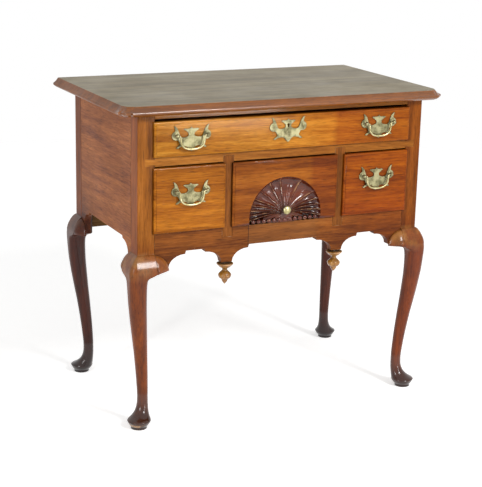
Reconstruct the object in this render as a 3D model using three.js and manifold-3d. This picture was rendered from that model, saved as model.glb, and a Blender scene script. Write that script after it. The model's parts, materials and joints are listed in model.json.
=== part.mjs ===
// A lowboy: a small dressing table with four drawers, cabriole legs, pierced brasses and a carved fan.
// Lengths are in millimetres, +Z is up and the front faces -Y.
// The origin is on the floor, under the middle of the top board.

import * as THREE from "three";
import { mergeVertices } from "three/addons/utils/BufferGeometryUtils.js";
import Module from "manifold-3d";

// Heights of the front, which stack up from the floor.
const kneeHeight = 427;
const apronHeight = 47;
const lowerOpeningHeight = 158;
const dividerThickness = 20;
const upperOpeningHeight = 89;
const topRailThickness = 12;
const boardThickness = 22;

// Plan of the case and of the board on it.
const caseWidth = 750;
const caseDepth = 430;
const postSize = 42;
const centreOpeningWidth = 270;
const stileWidth = 27;
const boardSideOverhang = 49;
const boardFrontOverhang = 32;
const boardBackOverhang = 24;

// Thicknesses and depths of the case's boards.
const sideThickness = 18;
const backThickness = 16;
const apronThickness = 20;
const stileDepth = 22;
const dividerDepth = 60;
const topRailDepth = 45;

// Clearances: glued or nailed faces, cuts that run past a face, and the drawers' running play.
const seat = 0.3;
const overrun = 5;
const drawerPlay = 1.5;

// Edge of the top board: its moulding and the notches of its front corners.
const mouldWidth = 13;
const notchSize = 25;
const notchFillet = 6;
const notchSteps = 4;
// Each row: inset as a share of the moulding's width, then distance below the top as a share of the
// board. Read upwards, the edge swells from its underside to a bead and hollows back to the top.
const mouldShares = [
  [0.5, 1],
  [0.14, 0.83],
  [0.03, 0.76],
  [0, 0.66],
  [0.04, 0.58],
  [0.12, 0.54],
  [0.27, 0.48],
  [0.5, 0.36],
  [0.74, 0.2],
  [0.93, 0.05],
  [1, 0],
];

// Cabriole legs.
const kneeReach = 23;
const kneeRise = 48;
const postArris = 1.2;
const cornerSteps = 3;
// Each row: height as a share of the knee's height, outer face as a share of the knee's reach,
// inner face as a share of the post, then the rounding of the outer corner and of the others
// as shares of half the section. The rows run from the floor to the knee's underside.
const legStationShares = [
  [0, 0.52, 0.64, 1, 1],
  [0.0155, 0.55, 0.655, 1, 1],
  [0.0165, 0.6, 0.69, 1, 1],
  [0.04, 0.86, 0.855, 1, 1],
  [0.044, 0.89, 0.865, 1, 1],
  [0.05, 0.8, 0.86, 1, 1],
  [0.063, 0.42, 0.845, 1, 1],
  [0.078, 0.1, 0.836, 1, 1],
  [0.094, -0.12, 0.833, 1, 1],
  [0.115, -0.28, 0.834, 1, 1],
  [0.14, -0.37, 0.835, 1, 1],
  [0.18, -0.39, 0.83, 1, 1],
  [0.253, -0.29, 0.81, 1, 1],
  [0.443, 0.13, 0.707, 1, 1],
  [0.557, 0.46, 0.63, 1, 1],
  [0.67, 0.77, 0.565, 1, 1],
  [0.745, 0.91, 0.52, 0.9, 0.9],
  [0.82, 0.98, 0.5, 0.78, 0.78],
  [0.857, 1, 0.515, 0.69, 0.66],
  [0.872, 1, 0.57, 0.63, 0.5],
  [0.881, 1, 0.68, 0.58, 0.3],
  [0.888, 1, 0.82, 0.54, 0.12],
  [0.898, 1, 1, 0.52, 0],
];
// The knee's face rolls back to the post: height as a share of the rise, reach as a share.
const kneeRollShares = [
  [0, 1],
  [0.19, 1],
  [0.375, 0.91],
  [0.54, 0.76],
  [0.71, 0.57],
  [0.855, 0.36],
  [0.95, 0.17],
  [1, 0],
];
const kneeCornerShare = 0.52;
// The rear posts are sawn thinner than they are deep.
const rearPostWidth = 28;

// Knee blocks, the brackets between the legs and the case.
const blockRun = 43.5;
const blockTuck = 8;
const blockDrop = 42;
const blockTopDip = 2.5;
const blockHeelDrop = 3.5;
const blockHeelRun = 18;
const blockTipReach = 5;
const blockEdge = 1.5;
const blockFootShare = 0.9;
const blockRings = 8;
const blockLastTurnShare = 0.93;

// Lower edge of the apron: pendants under the stiles, stepped shoulders and flat arches.
const pendantWidth = 28;
const pendantDrop = 38;
const shoulderRun = 42;
const shoulderStep = 7.5;
const stepWidth = 2;
const curveSteps = 6;

// Lower edge of the sides.
const sideArchRise = 24;
const sideEarRun = 19;
const sideRoundRun = 36;
const sideStepDrop = 6;
const sideRoundDrop = 29;

// Joints of the case: tongues, dovetails and laps.
const tongueThickness = 8;
const tongueLength = 10;
const tongueShoulder = 28;
const backPanelDrop = 83;
const dividerTailLength = 24;
const dividerTailDepth = 20;
const dividerTailNeck = 13;
const dividerTailTip = 18;
const railTailLength = 16;
const railTailNeck = 18;
const railTailTip = 24;
const stileLapDepth = 10;
const stileLapUp = 14;
const stileLapDown = 23;

// Runners and guides.
const runnerThickness = 20;
const runnerLedgeWidth = 16;
const guideHeight = 18;

// Drawers.
const lipThickness = 8;
const lipOverlap = 4.5;
const lipLift = 1;
const lipRound = 6;
const lipRoundDepth = 4.5;
const lipQuirk = 0.8;
const lipSteps = 3;
const upperLipGap = 6;
const lowerLipGap = 3;
const frontBodyDepth = 14;
const boxSideThickness = 11;
const boxBackThickness = 10;
const boxSideDrop = 4;
const boxRearSpace = 14;
const tailFlareShare = 0.2;
const tailPitch = 38;
const tailNeckShare = 0.56;
const grooveDepth = 5;
const grooveHeight = 6;
const grooveLift = 7;
const bottomDrop = 3.5;
const bottomBevel = 26;

// Carved fan of the centre drawer.
const fanRadius = 96;
const fanHubLift = 16;
const fanDepth = 8.5;
const fanFluteDepth = 4;
const fanFluteSteps = 4;
// Ridges between the hand-cut flutes, as shares of a quarter turn from upright, left to right.
const fanRidgeShares = [
  -1.5, -1.2, -1.04, -0.96, -0.88, -0.78, -0.66, -0.49, -0.29, -0.09, 0.3, 0.61, 0.75, 0.85, 0.94, 1.03, 1.2, 1.5,
];
// Each row: radius as a share of the fan's, then the ridges' and the flutes' depths as shares.
const fanProfileShares = [
  [1, 0.06, 0],
  [0.965, 0.5, 0.4],
  [0.89, 0.9, 0.9],
  [0.77, 1, 1],
  [0.55, 0.84, 0.82],
  [0.24, 0.45, 0.3],
  [0.1, 0.24, 0.05],
];

// Drop finials.
const finialDowelRadius = 4.5;
const finialDowelLength = 18;
const finialLength = 53;
const finialRadius = 16;
const finialSides = 12;
// Radius as a share of the ball's, and distance below the apron as a share of the length.
const finialProfileShares = [
  [1.2, 0.005],
  [1.27, 0.02],
  [1.24, 0.05],
  [0.93, 0.15],
  [0.88, 0.175],
  [0.62, 0.215],
  [0.42, 0.27],
  [0.38, 0.31],
  [0.45, 0.35],
  [0.72, 0.43],
  [0.95, 0.51],
  [1, 0.56],
  [0.93, 0.64],
  [0.76, 0.71],
  [0.55, 0.735],
  [0.4, 0.85],
  [0, 1],
];

// Brasses: plates, posts and bails of the pulls, escutcheon and knob.
const pullSpacing = 76;
const upperPullHeight = 50;
const lowerPullHeight = 98;
const plateThickness = 1.8;
const plateHalfWidth = 48.5;
const plateRise = 23;
const plateFall = 37;
const bossRadius = 10.5;
const bossStartShare = 0.2;
const bossEndShare = -0.3;
const bossSteps = 7;
const pullReach = 10;
const pullBallRadius = 5.2;
const pullSides = 8;
const shankRadius = 2;
const nutRadius = 5.5;
const nutThickness = 3;
const bailDrop = 31;
const bailRadius = 2.4;
const bailPinRadius = 1.5;
const bailPinGap = 0.7;
const bailSides = 6;
// Path of half the bail, from its pin to the middle: shares of half the spacing and of its drop.
const bailPathShares = [
  [0.87, 0],
  [0.81, 0.06],
  [0.785, 0.22],
  [0.76, 0.47],
  [0.66, 0.74],
  [0.45, 0.92],
  [0.18, 0.995],
];
// Outline of half a plate, from the top's middle round to the bottom's: shares of the half width,
// then of the rise above the posts or of the fall below them. The boss is an arc between the lists.
const plateUpperShares = [
  [0, 0.82],
  [0.05, 0.68],
  [0.16, 0.64],
  [0.3, 0.66],
  [0.39, 0.6],
  [0.26, 0.42],
  [0.16, 0.25],
  [0.135, 0.03],
  [0.2, -0.08],
  [0.34, -0.135],
  [0.5, -0.135],
  [0.58, -0.03],
  [0.64, 0.3],
  [0.71, 0.68],
  [0.81, 0.93],
  [0.9, 1],
  [0.86, 0.84],
  [0.83, 0.52],
];
const plateLowerShares = [
  [0.66, -0.33],
  [0.58, -0.52],
  [0.62, -0.62],
  [0.7, -0.68],
  [0.78, -0.78],
  [0.68, -0.79],
  [0.56, -0.7],
  [0.32, -0.66],
  [0.2, -0.72],
  [0.13, -0.84],
  [0, -1],
];
const escutcheonHeight = 55;
const keyholeRadius = 3;
const keyholeSlotWidth = 3;
const keyholeDrop = 7;
const keyholeRise = 5;
const ballSteps = 4;
const knobRadius = 10.5;
const knobDepth = 6;
const knobLift = 16.5;
const knobReach = 8;
const knobStemRadius = 3;
const knobSides = 12;
const holePlay = 0.3;

// Lock of the upper drawer.
const lockWidth = 56;
const lockHeight = 42;
const lockDepth = 10;
const boltWidth = 15;
const boltThickness = 5;
const boltHeight = 24;
const boltPlay = 0.5;
const mortiseDepth = 7;

// Levels and places that follow from the sizes above.
const apronTop = kneeHeight + apronHeight;
const dividerBottom = apronTop + lowerOpeningHeight;
const dividerTop = dividerBottom + dividerThickness;
const topRailBottom = dividerTop + upperOpeningHeight;
const boardBottom = topRailBottom + topRailThickness;
const caseTop = boardBottom - seat;
const boardWidth = caseWidth + 2 * boardSideOverhang;
const boardDepth = caseDepth + boardFrontOverhang + boardBackOverhang;
const caseSide = caseWidth / 2;
const caseFront = boardFrontOverhang - boardDepth / 2;
const caseBack = caseFront + caseDepth;
const openingEdge = caseSide - postSize;
const rearPostEdge = caseSide - rearPostWidth;
const sideInner = caseSide - sideThickness;
const postRear = caseFront + postSize;
const rearPostFront = caseBack - postSize;
const backFront = caseBack - backThickness;
const stileCentre = centreOpeningWidth / 2 + stileWidth / 2;
const stileOuter = stileCentre + stileWidth / 2;
const kneeWidest = kneeHeight - kneeRise;
const apronBottom = kneeHeight - pendantDrop;
const blockFoot = kneeHeight - blockDrop;
const blockStart = postSize - blockTuck;
const quarterTurn = Math.PI / 2;
const quarters = 4;

const wasm = await Module();
wasm.setup();

// Turns a closed geometry into a solid whose faces point out.
function solidOf(geometry) {
  const bare = new THREE.BufferGeometry();
  bare.setAttribute("position", geometry.getAttribute("position"));
  bare.setIndex(geometry.index);
  const merged = mergeVertices(bare);
  const corners = merged.index.array;
  const kept = [];
  for (let i = 0; i < corners.length; i += 3) {
    const [a, b, c] = corners.subarray(i, i + 3);
    if (a !== b && b !== c && c !== a) kept.push(a, b, c);
  }
  const vertProperties = merged.getAttribute("position").array;
  const build = (triVerts) => new wasm.Manifold(new wasm.Mesh({ numProp: 3, vertProperties, triVerts }));
  const made = build(new Uint32Array(kept));
  return made.volume() > 0 ? made : build(new Uint32Array(kept).reverse());
}

// Turns a solid back into a geometry with flat faces.
function geometryOf(solid) {
  const mesh = solid.getMesh();
  const geometry = new THREE.BufferGeometry();
  geometry.setAttribute("position", new THREE.BufferAttribute(new Float32Array(mesh.vertProperties), 3));
  geometry.setIndex(new THREE.BufferAttribute(new Uint32Array(mesh.triVerts), 1));
  const flat = geometry.toNonIndexed();
  flat.computeVertexNormals();
  return flat;
}

function box(x0, x1, y0, y1, z0, z1) {
  const geometry = new THREE.BoxGeometry(x1 - x0, y1 - y0, z1 - z0);
  geometry.translate((x0 + x1) / 2, (y0 + y1) / 2, (z0 + z1) / 2);
  return solidOf(geometry);
}

// Walls through a stack of rings that have the same number of points, with a fan of faces at each end.
function loft(rings) {
  const count = rings[0].length;
  const last = (rings.length - 1) * count;
  const middleOf = (ring) => {
    const sum = ring.reduce((total, point) => total.map((value, i) => value + point[i]), [0, 0, 0]);
    return sum.map((value) => value / count);
  };
  const positions = [...rings.flat(), middleOf(rings[0]), middleOf(rings[rings.length - 1])].flat();
  const index = [];
  for (let i = 0; i < count; i += 1) {
    const next = (i + 1) % count;
    for (let first = 0; first < last; first += count) {
      const [a, b] = [first + i, first + next];
      index.push(a, b, b + count, a, b + count, a + count);
    }
    index.push(next, i, last + count, last + i, last + next, last + count + 1);
  }
  const geometry = new THREE.BufferGeometry();
  geometry.setAttribute("position", new THREE.Float32BufferAttribute(positions, 3));
  geometry.setIndex(index);
  return solidOf(geometry);
}

function shapeOf(points) {
  return new THREE.Shape(points.map(([u, v]) => new THREE.Vector2(u, v)));
}

function extruded(shape, depth) {
  return new THREE.ExtrudeGeometry(shape, { depth, bevelEnabled: false });
}

// A prism whose outline lies in XZ, between two depths along Y.
function frontPrism(points, y0, y1) {
  const geometry = extruded(shapeOf(points), y1 - y0);
  geometry.rotateX(quarterTurn);
  geometry.translate(0, y1, 0);
  return solidOf(geometry);
}

// A prism whose outline lies in YZ, between two places along X.
function sidePrism(points, x0, x1) {
  const geometry = extruded(shapeOf(points), x1 - x0);
  const axes = [new THREE.Vector3(0, 1, 0), new THREE.Vector3(0, 0, 1), new THREE.Vector3(1, 0, 0)];
  geometry.applyMatrix4(new THREE.Matrix4().makeBasis(...axes));
  geometry.translate(x0, 0, 0);
  return solidOf(geometry);
}

// A prism whose outline lies in XY, between two heights.
function planPrism(points, z0, z1) {
  const geometry = extruded(shapeOf(points), z1 - z0);
  geometry.translate(0, 0, z0);
  return solidOf(geometry);
}

// A turned form from pairs of a radius and a place along its axis, which points up or to the front.
function turnedUp(profile, sides, x, y) {
  const points = profile.map(([radius, height]) => new THREE.Vector2(radius, height));
  const geometry = new THREE.LatheGeometry(points, sides);
  geometry.rotateX(quarterTurn);
  geometry.translate(x, y, 0);
  return solidOf(geometry);
}

function turnedOut(profile, sides, x, z) {
  const points = profile.map(([radius, depth]) => new THREE.Vector2(radius, depth));
  const geometry = new THREE.LatheGeometry(points, sides);
  geometry.translate(x, 0, z);
  return solidOf(geometry);
}

function mirrored(points) {
  return [...points, ...points.filter(([u]) => u !== 0).map(([u, v]) => [-u, v]).reverse()];
}

function arcPoints(centreU, centreV, radius, fromShare, toShare, steps) {
  return Array.from({ length: steps + 1 }, (_, i) => {
    const turn = (fromShare + ((toShare - fromShare) * i) / steps) * quarters * quarterTurn;
    return [centreU + radius * Math.cos(turn), centreV + radius * Math.sin(turn)];
  });
}

// A quarter of an ellipse that starts level at (u, v) and ends upright, run along and drop below.
function roundedShoulder(u, v, run, drop) {
  return Array.from({ length: curveSteps + 1 }, (_, i) => {
    const turn = (quarterTurn * i) / curveSteps;
    return [u + run * Math.sin(turn), v - drop * (1 - Math.cos(turn))];
  });
}

const wood = (color) => new THREE.MeshStandardMaterial({ color, roughness: 0.4, metalness: 0 });
const topWood = wood(0x6f5644);
const caseWood = wood(0x8a4f2c);
const frontWood = wood(0xa8632e);
const legWood = wood(0x6e3a22);
const plainWood = new THREE.MeshStandardMaterial({ color: 0xb98f5c, roughness: 0.8, metalness: 0 });
const brass = new THREE.MeshStandardMaterial({ color: 0xb9a867, roughness: 0.34, metalness: 1 });
const iron = new THREE.MeshStandardMaterial({ color: 0x5c5a55, roughness: 0.55, metalness: 1 });

const lowboy = new THREE.Group();

function add(name, solid, material) {
  const mesh = new THREE.Mesh(geometryOf(solid), material);
  mesh.name = name;
  lowboy.add(mesh);
}

const hands = [
  ["left", -1],
  ["right", 1],
];

// Top board: two mouldings of the same section, one notched in at the sides and one at the front.
// Between them each front corner swells out in a quarter round, with a small step at either end.
const notchX = boardWidth / 2 - notchSize;
const notchY = notchSize - boardDepth / 2;
const mouldProfile = mouldShares.map(([inset, drop]) => [
  inset * mouldWidth,
  boardBottom + boardThickness * (1 - drop),
]);

function mouldedSlab(halfWidth, front) {
  const back = boardDepth / 2;
  return loft(
    mouldProfile.map(([inset, z]) => [
      [-halfWidth + inset, back, z],
      [-halfWidth + inset, front + inset, z],
      [halfWidth - inset, front + inset, z],
      [halfWidth - inset, back, z],
    ]),
  );
}

function boardCorner(hand) {
  return loft(
    mouldProfile.map(([inset, z]) => {
      const radius = notchSize - notchFillet - inset;
      const ring = [
        [boardWidth / 2 - inset, notchY + inset],
        ...arcPoints(notchX, notchY, radius, 0, -1 / quarters, notchSteps),
        [notchX - inset, inset - boardDepth / 2],
        [notchX - inset - overrun, notchY + inset + overrun],
      ];
      return ring.map(([x, y]) => [hand * x, y, z]);
    }),
  );
}

// A rounded square across a leg, in the leg's own directions, both of which point away from the case.
function legSection(outer, inner, outerShare, otherShare, z) {
  const half = (outer + inner) / 2;
  return [
    [1, 1],
    [-1, 1],
    [-1, -1],
    [1, -1],
  ].flatMap(([u, v], corner) => {
    const radius = Math.max(postArris, half * (corner === 0 ? outerShare : otherShare));
    const centre = (sign) => (sign > 0 ? outer - radius : radius - inner);
    const start = corner / quarters;
    const arc = arcPoints(centre(u), centre(v), radius, start, start + 1 / quarters, cornerSteps);
    return arc.map(([x, y]) => [x, y, z]);
  });
}

function makeLeg(hand, end) {
  const sections = [
    ...legStationShares.map(([height, outer, inner, outerRound, otherRound]) =>
      legSection(outer * kneeReach, inner * postSize, outerRound, otherRound, height * kneeHeight),
    ),
    ...kneeRollShares
      .slice(1)
      .map(([height, outer]) =>
        legSection(outer * kneeReach, postSize, outer * kneeCornerShare, 0, kneeWidest + height * kneeRise),
      ),
    legSection(0, postSize, 0, 0, caseTop),
  ];
  const cornerY = end < 0 ? caseFront : caseBack;
  const thinned = (x, z) => (end > 0 && z > kneeWidest - kneeRise ? Math.max(x, -rearPostWidth) : x);
  return loft(
    sections.map((section) =>
      section.map(([x, y, z]) => [hand * (caseSide + thinned(x, z)), cornerY + end * y, z]),
    ),
  );
}

// A bracket beside a knee. It is drawn as the run from the case's corner, how far it stands proud
// and its height, and placed on a face of the case by the function given.
function makeBlock(toWorld) {
  const first = Math.asin((postSize + seat - blockStart) / blockRun);
  const last = quarterTurn * blockLastTurnShare;
  const rings = Array.from({ length: blockRings }, (_, i) => {
    const share = i / (blockRings - 1);
    const turn = first + (last - first) * share;
    const run = blockStart + blockRun * Math.sin(turn);
    const top = blockFoot + (blockDrop - blockTopDip) * Math.cos(turn);
    const heel = Math.max(0, 1 - (run - postSize) / blockHeelRun);
    const bottom = blockFoot - blockHeelDrop * heel * heel;
    const fade = (1 + Math.cos(Math.PI * share)) / 2;
    const reach = blockTipReach + (kneeReach - blockTipReach) * fade;
    const rows = kneeRollShares.map(([height, roll], row) => [
      blockEdge + (reach - blockEdge) * (row === 0 ? blockFootShare : roll),
      bottom + (top - bottom) * height,
    ]);
    return [[seat, bottom], ...rows, [seat, top]].map(([proud, z]) => toWorld(run, proud, z));
  });
  return loft(rings);
}

// Front apron: the outline runs from the top's end down beside the post and back along the lower edge.
function apronOutline() {
  const archHalf = stileCentre - pendantWidth / 2 - shoulderRun - stepWidth;
  const outerArch = stileCentre + pendantWidth / 2 + shoulderRun + stepWidth;
  const endRound = caseSide - blockStart - blockRun - shoulderRun;
  const round = roundedShoulder(0, kneeHeight - shoulderStep, shoulderRun, pendantDrop - shoulderStep);
  return mirrored([
    [openingEdge - seat, apronTop],
    [openingEdge - seat, blockFoot],
    ...round.map(([u, v]) => [endRound + u, v]).reverse(),
    [endRound - stepWidth, kneeHeight],
    [outerArch, kneeHeight],
    ...round.map(([u, v]) => [outerArch - stepWidth - u, v]),
    ...round.map(([u, v]) => [archHalf + stepWidth + u, v]).reverse(),
    [archHalf, kneeHeight],
  ]);
}

// Side of the case: its lower edge is one arch with a rounded step at each end.
function panelOutline() {
  const middle = (postRear + rearPostFront) / 2;
  const end = rearPostFront - seat - middle;
  const archBottom = kneeHeight + sideArchRise;
  const roundStart = end - sideEarRun - sideRoundRun;
  const outline = mirrored([
    [end, caseTop],
    [end, blockFoot + blockEdge],
    [end - sideEarRun, blockFoot + blockEdge],
    ...roundedShoulder(roundStart, archBottom - sideStepDrop, sideRoundRun, sideRoundDrop).reverse(),
    [roundStart - stepWidth, archBottom],
  ]);
  return outline.map(([u, v]) => [middle + u, v]);
}

// A dovetail that points along +u from a shoulder, fuller all round by the clearance given.
function tailPoints(shoulder, length, neck, tip, extra) {
  return mirrored([
    [neck / 2 + extra, shoulder - overrun],
    [neck / 2 + extra, shoulder],
    [tip / 2 + extra, shoulder + length + extra],
  ]).map(([v, u]) => [u, v]);
}

function dividerTail(hand, extra) {
  const points = tailPoints(openingEdge, dividerTailLength, dividerTailNeck, dividerTailTip, extra);
  const middle = (dividerBottom + dividerTop) / 2;
  const front = caseFront - (extra > 0 ? overrun : 0);
  const placed = points.map(([u, v]) => [hand * u, middle + v]);
  return frontPrism(placed, front, caseFront + dividerTailDepth + extra);
}

function railTail(hand, extra) {
  const points = tailPoints(openingEdge, railTailLength, railTailNeck, railTailTip, extra);
  const middle = caseFront + topRailDepth / 2;
  const placed = points.map(([u, v]) => [hand * u, middle + v]);
  return planPrism(placed, topRailBottom - extra, caseTop + (extra > 0 ? overrun : 0));
}

// A tongue on the end of a board, or with a clearance the groove for it in a post.
function sideTongue(hand, end, extra) {
  const near = end < 0 ? postRear + seat : rearPostFront - seat;
  const far = near + end * (tongueLength + extra);
  const root = near - end * overrun;
  const middle = hand * (caseSide - sideThickness / 2);
  const half = tongueThickness / 2 + extra;
  const [y0, y1] = [Math.min(root, far), Math.max(root, far)];
  return box(middle - half, middle + half, y0, y1, kneeHeight - extra, caseTop - tongueShoulder + extra);
}

function crossTongue(hand, edge, middle, bottom, top, extra) {
  const root = edge - seat - overrun;
  const far = edge - seat + tongueLength + extra;
  const [x0, x1] = hand < 0 ? [-far, -root] : [root, far];
  const half = tongueThickness / 2 + extra;
  return box(x0, x1, middle - half, middle + half, bottom - extra, top + extra);
}

function apronTongue(hand, extra) {
  const middle = caseFront + apronThickness / 2;
  const bottom = kneeHeight + tongueThickness;
  return crossTongue(hand, openingEdge, middle, bottom, apronTop - tongueThickness, extra);
}

function backTongue(hand, extra) {
  const middle = caseBack - backThickness / 2;
  const bottom = apronTop - backPanelDrop + tongueShoulder;
  return crossTongue(hand, rearPostEdge, middle, bottom, caseTop - tongueShoulder, extra);
}

function stile(hand, extra) {
  const x0 = hand * stileCentre - stileWidth / 2 - extra;
  const x1 = hand * stileCentre + stileWidth / 2 + extra;
  const lapBack = caseFront + stileLapDepth + extra;
  const lapFront = caseFront - (extra > 0 ? overrun : 0);
  const [bottom, top] = [apronTop - stileLapDown - extra, dividerBottom + stileLapUp + extra];
  const lap = box(x0, x1, lapFront, lapBack, bottom, top);
  return lap.add(box(x0, x1, caseFront, caseFront + stileDepth, apronTop + seat, dividerBottom - seat));
}

const board = hands.reduce(
  (solid, [, hand]) => solid.add(boardCorner(hand)),
  mouldedSlab(boardWidth / 2, notchY).add(mouldedSlab(notchX, -boardDepth / 2)),
);
add("top_board", board, topWood);

for (const [side, hand] of hands) {
  const front = makeLeg(hand, -1)
    .subtract(sideTongue(hand, -1, seat))
    .subtract(apronTongue(hand, seat))
    .subtract(dividerTail(hand, seat))
    .subtract(railTail(hand, seat));
  const rear = makeLeg(hand, 1).subtract(sideTongue(hand, 1, seat)).subtract(backTongue(hand, seat));
  add(`leg_front_${side}`, front, legWood);
  add(`leg_rear_${side}`, rear, legWood);

  const [x0, x1] = hand < 0 ? [-caseSide, -sideInner] : [sideInner, caseSide];
  const panel = sidePrism(panelOutline(), x0, x1).add(sideTongue(hand, -1, 0)).add(sideTongue(hand, 1, 0));
  add(`side_panel_${side}`, panel, caseWood);

  const onFront = makeBlock((run, proud, z) => [hand * (caseSide - run), caseFront - proud, z]);
  const onSideFront = makeBlock((run, proud, z) => [hand * (caseSide + proud), caseFront + run, z]);
  const onSideRear = makeBlock((run, proud, z) => [hand * (caseSide + proud), caseBack - run, z]);
  add(`knee_block_front_${side}`, onFront, legWood);
  add(`knee_block_side_front_${side}`, onSideFront, legWood);
  add(`knee_block_side_rear_${side}`, onSideRear, legWood);
}

const backBottom = apronTop - backPanelDrop;
const backBoard = hands.reduce(
  (board, [, hand]) => board.add(backTongue(hand, 0)),
  box(seat - rearPostEdge, rearPostEdge - seat, backFront, caseBack, backBottom, caseTop),
);
add("back_panel", backBoard, plainWood);

// The lock's bolt, or with a clearance the space it slides in.
const upperFaceTop = topRailBottom - upperLipGap;
const frontBack = caseFront + frontBodyDepth;
const boltMiddle = frontBack + seat + lockDepth / 2;

function bolt(extra, bottom, top) {
  const halfWidth = boltWidth / 2 + extra;
  const halfThickness = boltThickness / 2 + extra;
  return box(-halfWidth, halfWidth, boltMiddle - halfThickness, boltMiddle + halfThickness, bottom, top);
}

const railBody = box(
  seat - openingEdge,
  openingEdge - seat,
  caseFront,
  caseFront + topRailDepth,
  topRailBottom,
  caseTop,
);
const rail = hands.reduce((solid, [, hand]) => solid.add(railTail(hand, 0)), railBody);
const strike = bolt(boltPlay, topRailBottom - overrun, topRailBottom + mortiseDepth);
add("top_rail", rail.subtract(strike), caseWood);

const dividerBody = box(
  seat - openingEdge,
  openingEdge - seat,
  caseFront,
  caseFront + dividerDepth,
  dividerBottom,
  dividerTop,
);
const divider = hands.reduce(
  (solid, [, hand]) => solid.add(dividerTail(hand, 0)).subtract(stile(hand, seat)),
  dividerBody,
);
add("drawer_divider", divider, caseWood);

const dowelHole = [
  [0, apronBottom - overrun],
  [finialDowelRadius + seat, apronBottom - overrun],
  [finialDowelRadius + seat, apronBottom + finialDowelLength + seat],
  [0, apronBottom + finialDowelLength + seat],
];
const finialDepth = caseFront + apronThickness / 2;
const apron = hands.reduce(
  (solid, [, hand]) =>
    solid
      .add(apronTongue(hand, 0))
      .subtract(stile(hand, seat))
      .subtract(turnedUp(dowelHole, finialSides, hand * stileCentre, finialDepth)),
  frontPrism(apronOutline(), caseFront, caseFront + apronThickness),
);
add("apron_front", apron, caseWood);

const finialProfile = [
  [0, apronBottom + finialDowelLength],
  [finialDowelRadius, apronBottom + finialDowelLength],
  [finialDowelRadius, apronBottom - seat],
  ...finialProfileShares.map(([radius, drop]) => [
    radius * finialRadius,
    apronBottom - seat - drop * finialLength,
  ]),
];

for (const [side, hand] of hands) {
  add(`stile_${side}`, stile(hand, 0), caseWood);
  const finial = turnedUp(finialProfile, finialSides, hand * stileCentre, finialDepth);
  add(`drop_finial_${side}`, finial, frontWood);

  // Runners carry the drawers' sides, and the raised guides on them keep the drawers straight.
  const bearing = openingEdge - drawerPlay - runnerLedgeWidth;
  const outerRunner = (front, top) => {
    const span = (inner, bottom, height) => {
      const [x0, x1] = hand < 0 ? [seat - sideInner, -inner] : [inner, sideInner - seat];
      return box(x0, x1, front + seat, rearPostFront - seat, bottom, height);
    };
    return span(bearing, top - runnerThickness, top).add(span(openingEdge, top - overrun, top + guideHeight));
  };
  add(`runner_upper_${side}`, outerRunner(caseFront + dividerDepth, dividerTop), plainWood);
  add(`runner_lower_${side}`, outerRunner(postRear, apronTop), plainWood);

  const medial = (half, bottom, top) =>
    box(
      hand * stileCentre - half,
      hand * stileCentre + half,
      caseFront + stileDepth + seat,
      backFront - seat,
      bottom,
      top,
    );
  const medialRunner = medial(stileWidth / 2 + runnerLedgeWidth, apronTop - runnerThickness, apronTop);
  const medialGuide = medial(stileWidth / 2, apronTop - overrun, apronTop + guideHeight);
  add(`runner_medial_${side}`, medialRunner.add(medialGuide), plainWood);
}

// Drawers. The lip stands in front of the case and the body behind it goes into the opening.
const lipBack = caseFront - seat;
const drawerFace = lipBack - lipThickness;
const boxRear = backFront - boxRearSpace;
const lipProfile = [
  [0, 0],
  ...Array.from({ length: lipSteps + 1 }, (_, i) => {
    const turn = (quarterTurn * i) / lipSteps;
    const depth = lipThickness - lipRoundDepth + (lipRoundDepth - lipQuirk) * Math.sin(turn);
    return [lipRound * (1 - Math.cos(turn)), depth];
  }),
  [lipRound, lipThickness],
];

// Dovetails in a row up one end of a drawer's side: the middle, neck and tip of each.
function tailRow(bottom, top, length) {
  const count = Math.max(2, Math.round((top - bottom) / tailPitch));
  const pitch = (top - bottom) / count;
  const neck = pitch * tailNeckShare;
  const tip = neck + 2 * tailFlareShare * length;
  return Array.from({ length: count }, (_, i) => ({ middle: bottom + (i + 0.5) * pitch, neck, tip }));
}

// One end of a drawer's side from bottom to top, with its tails reaching past the shoulder.
function tailedEnd(bottom, top, shoulder, reach) {
  const tails = tailRow(bottom, top, Math.abs(reach)).flatMap(({ middle, neck, tip }) => [
    [shoulder, middle - neck / 2],
    [shoulder + reach, middle - tip / 2],
    [shoulder + reach, middle + tip / 2],
    [shoulder, middle + neck / 2],
  ]);
  return [[shoulder, bottom], ...tails, [shoulder, top]];
}

// The sockets that those tails go into, cut with a clearance between two places along X.
function sockets(x0, x1, bottom, top, shoulder, reach) {
  const length = Math.abs(reach);
  return tailRow(bottom, top, length)
    .map(({ middle, neck, tip }) => {
      const points = tailPoints(0, length, neck, tip, seat);
      const placed = points.map(([u, v]) => [shoulder + Math.sign(reach) * u, middle + v]);
      return sidePrism(placed, x0, x1);
    })
    .reduce((row, socket) => row.add(socket));
}

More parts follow.
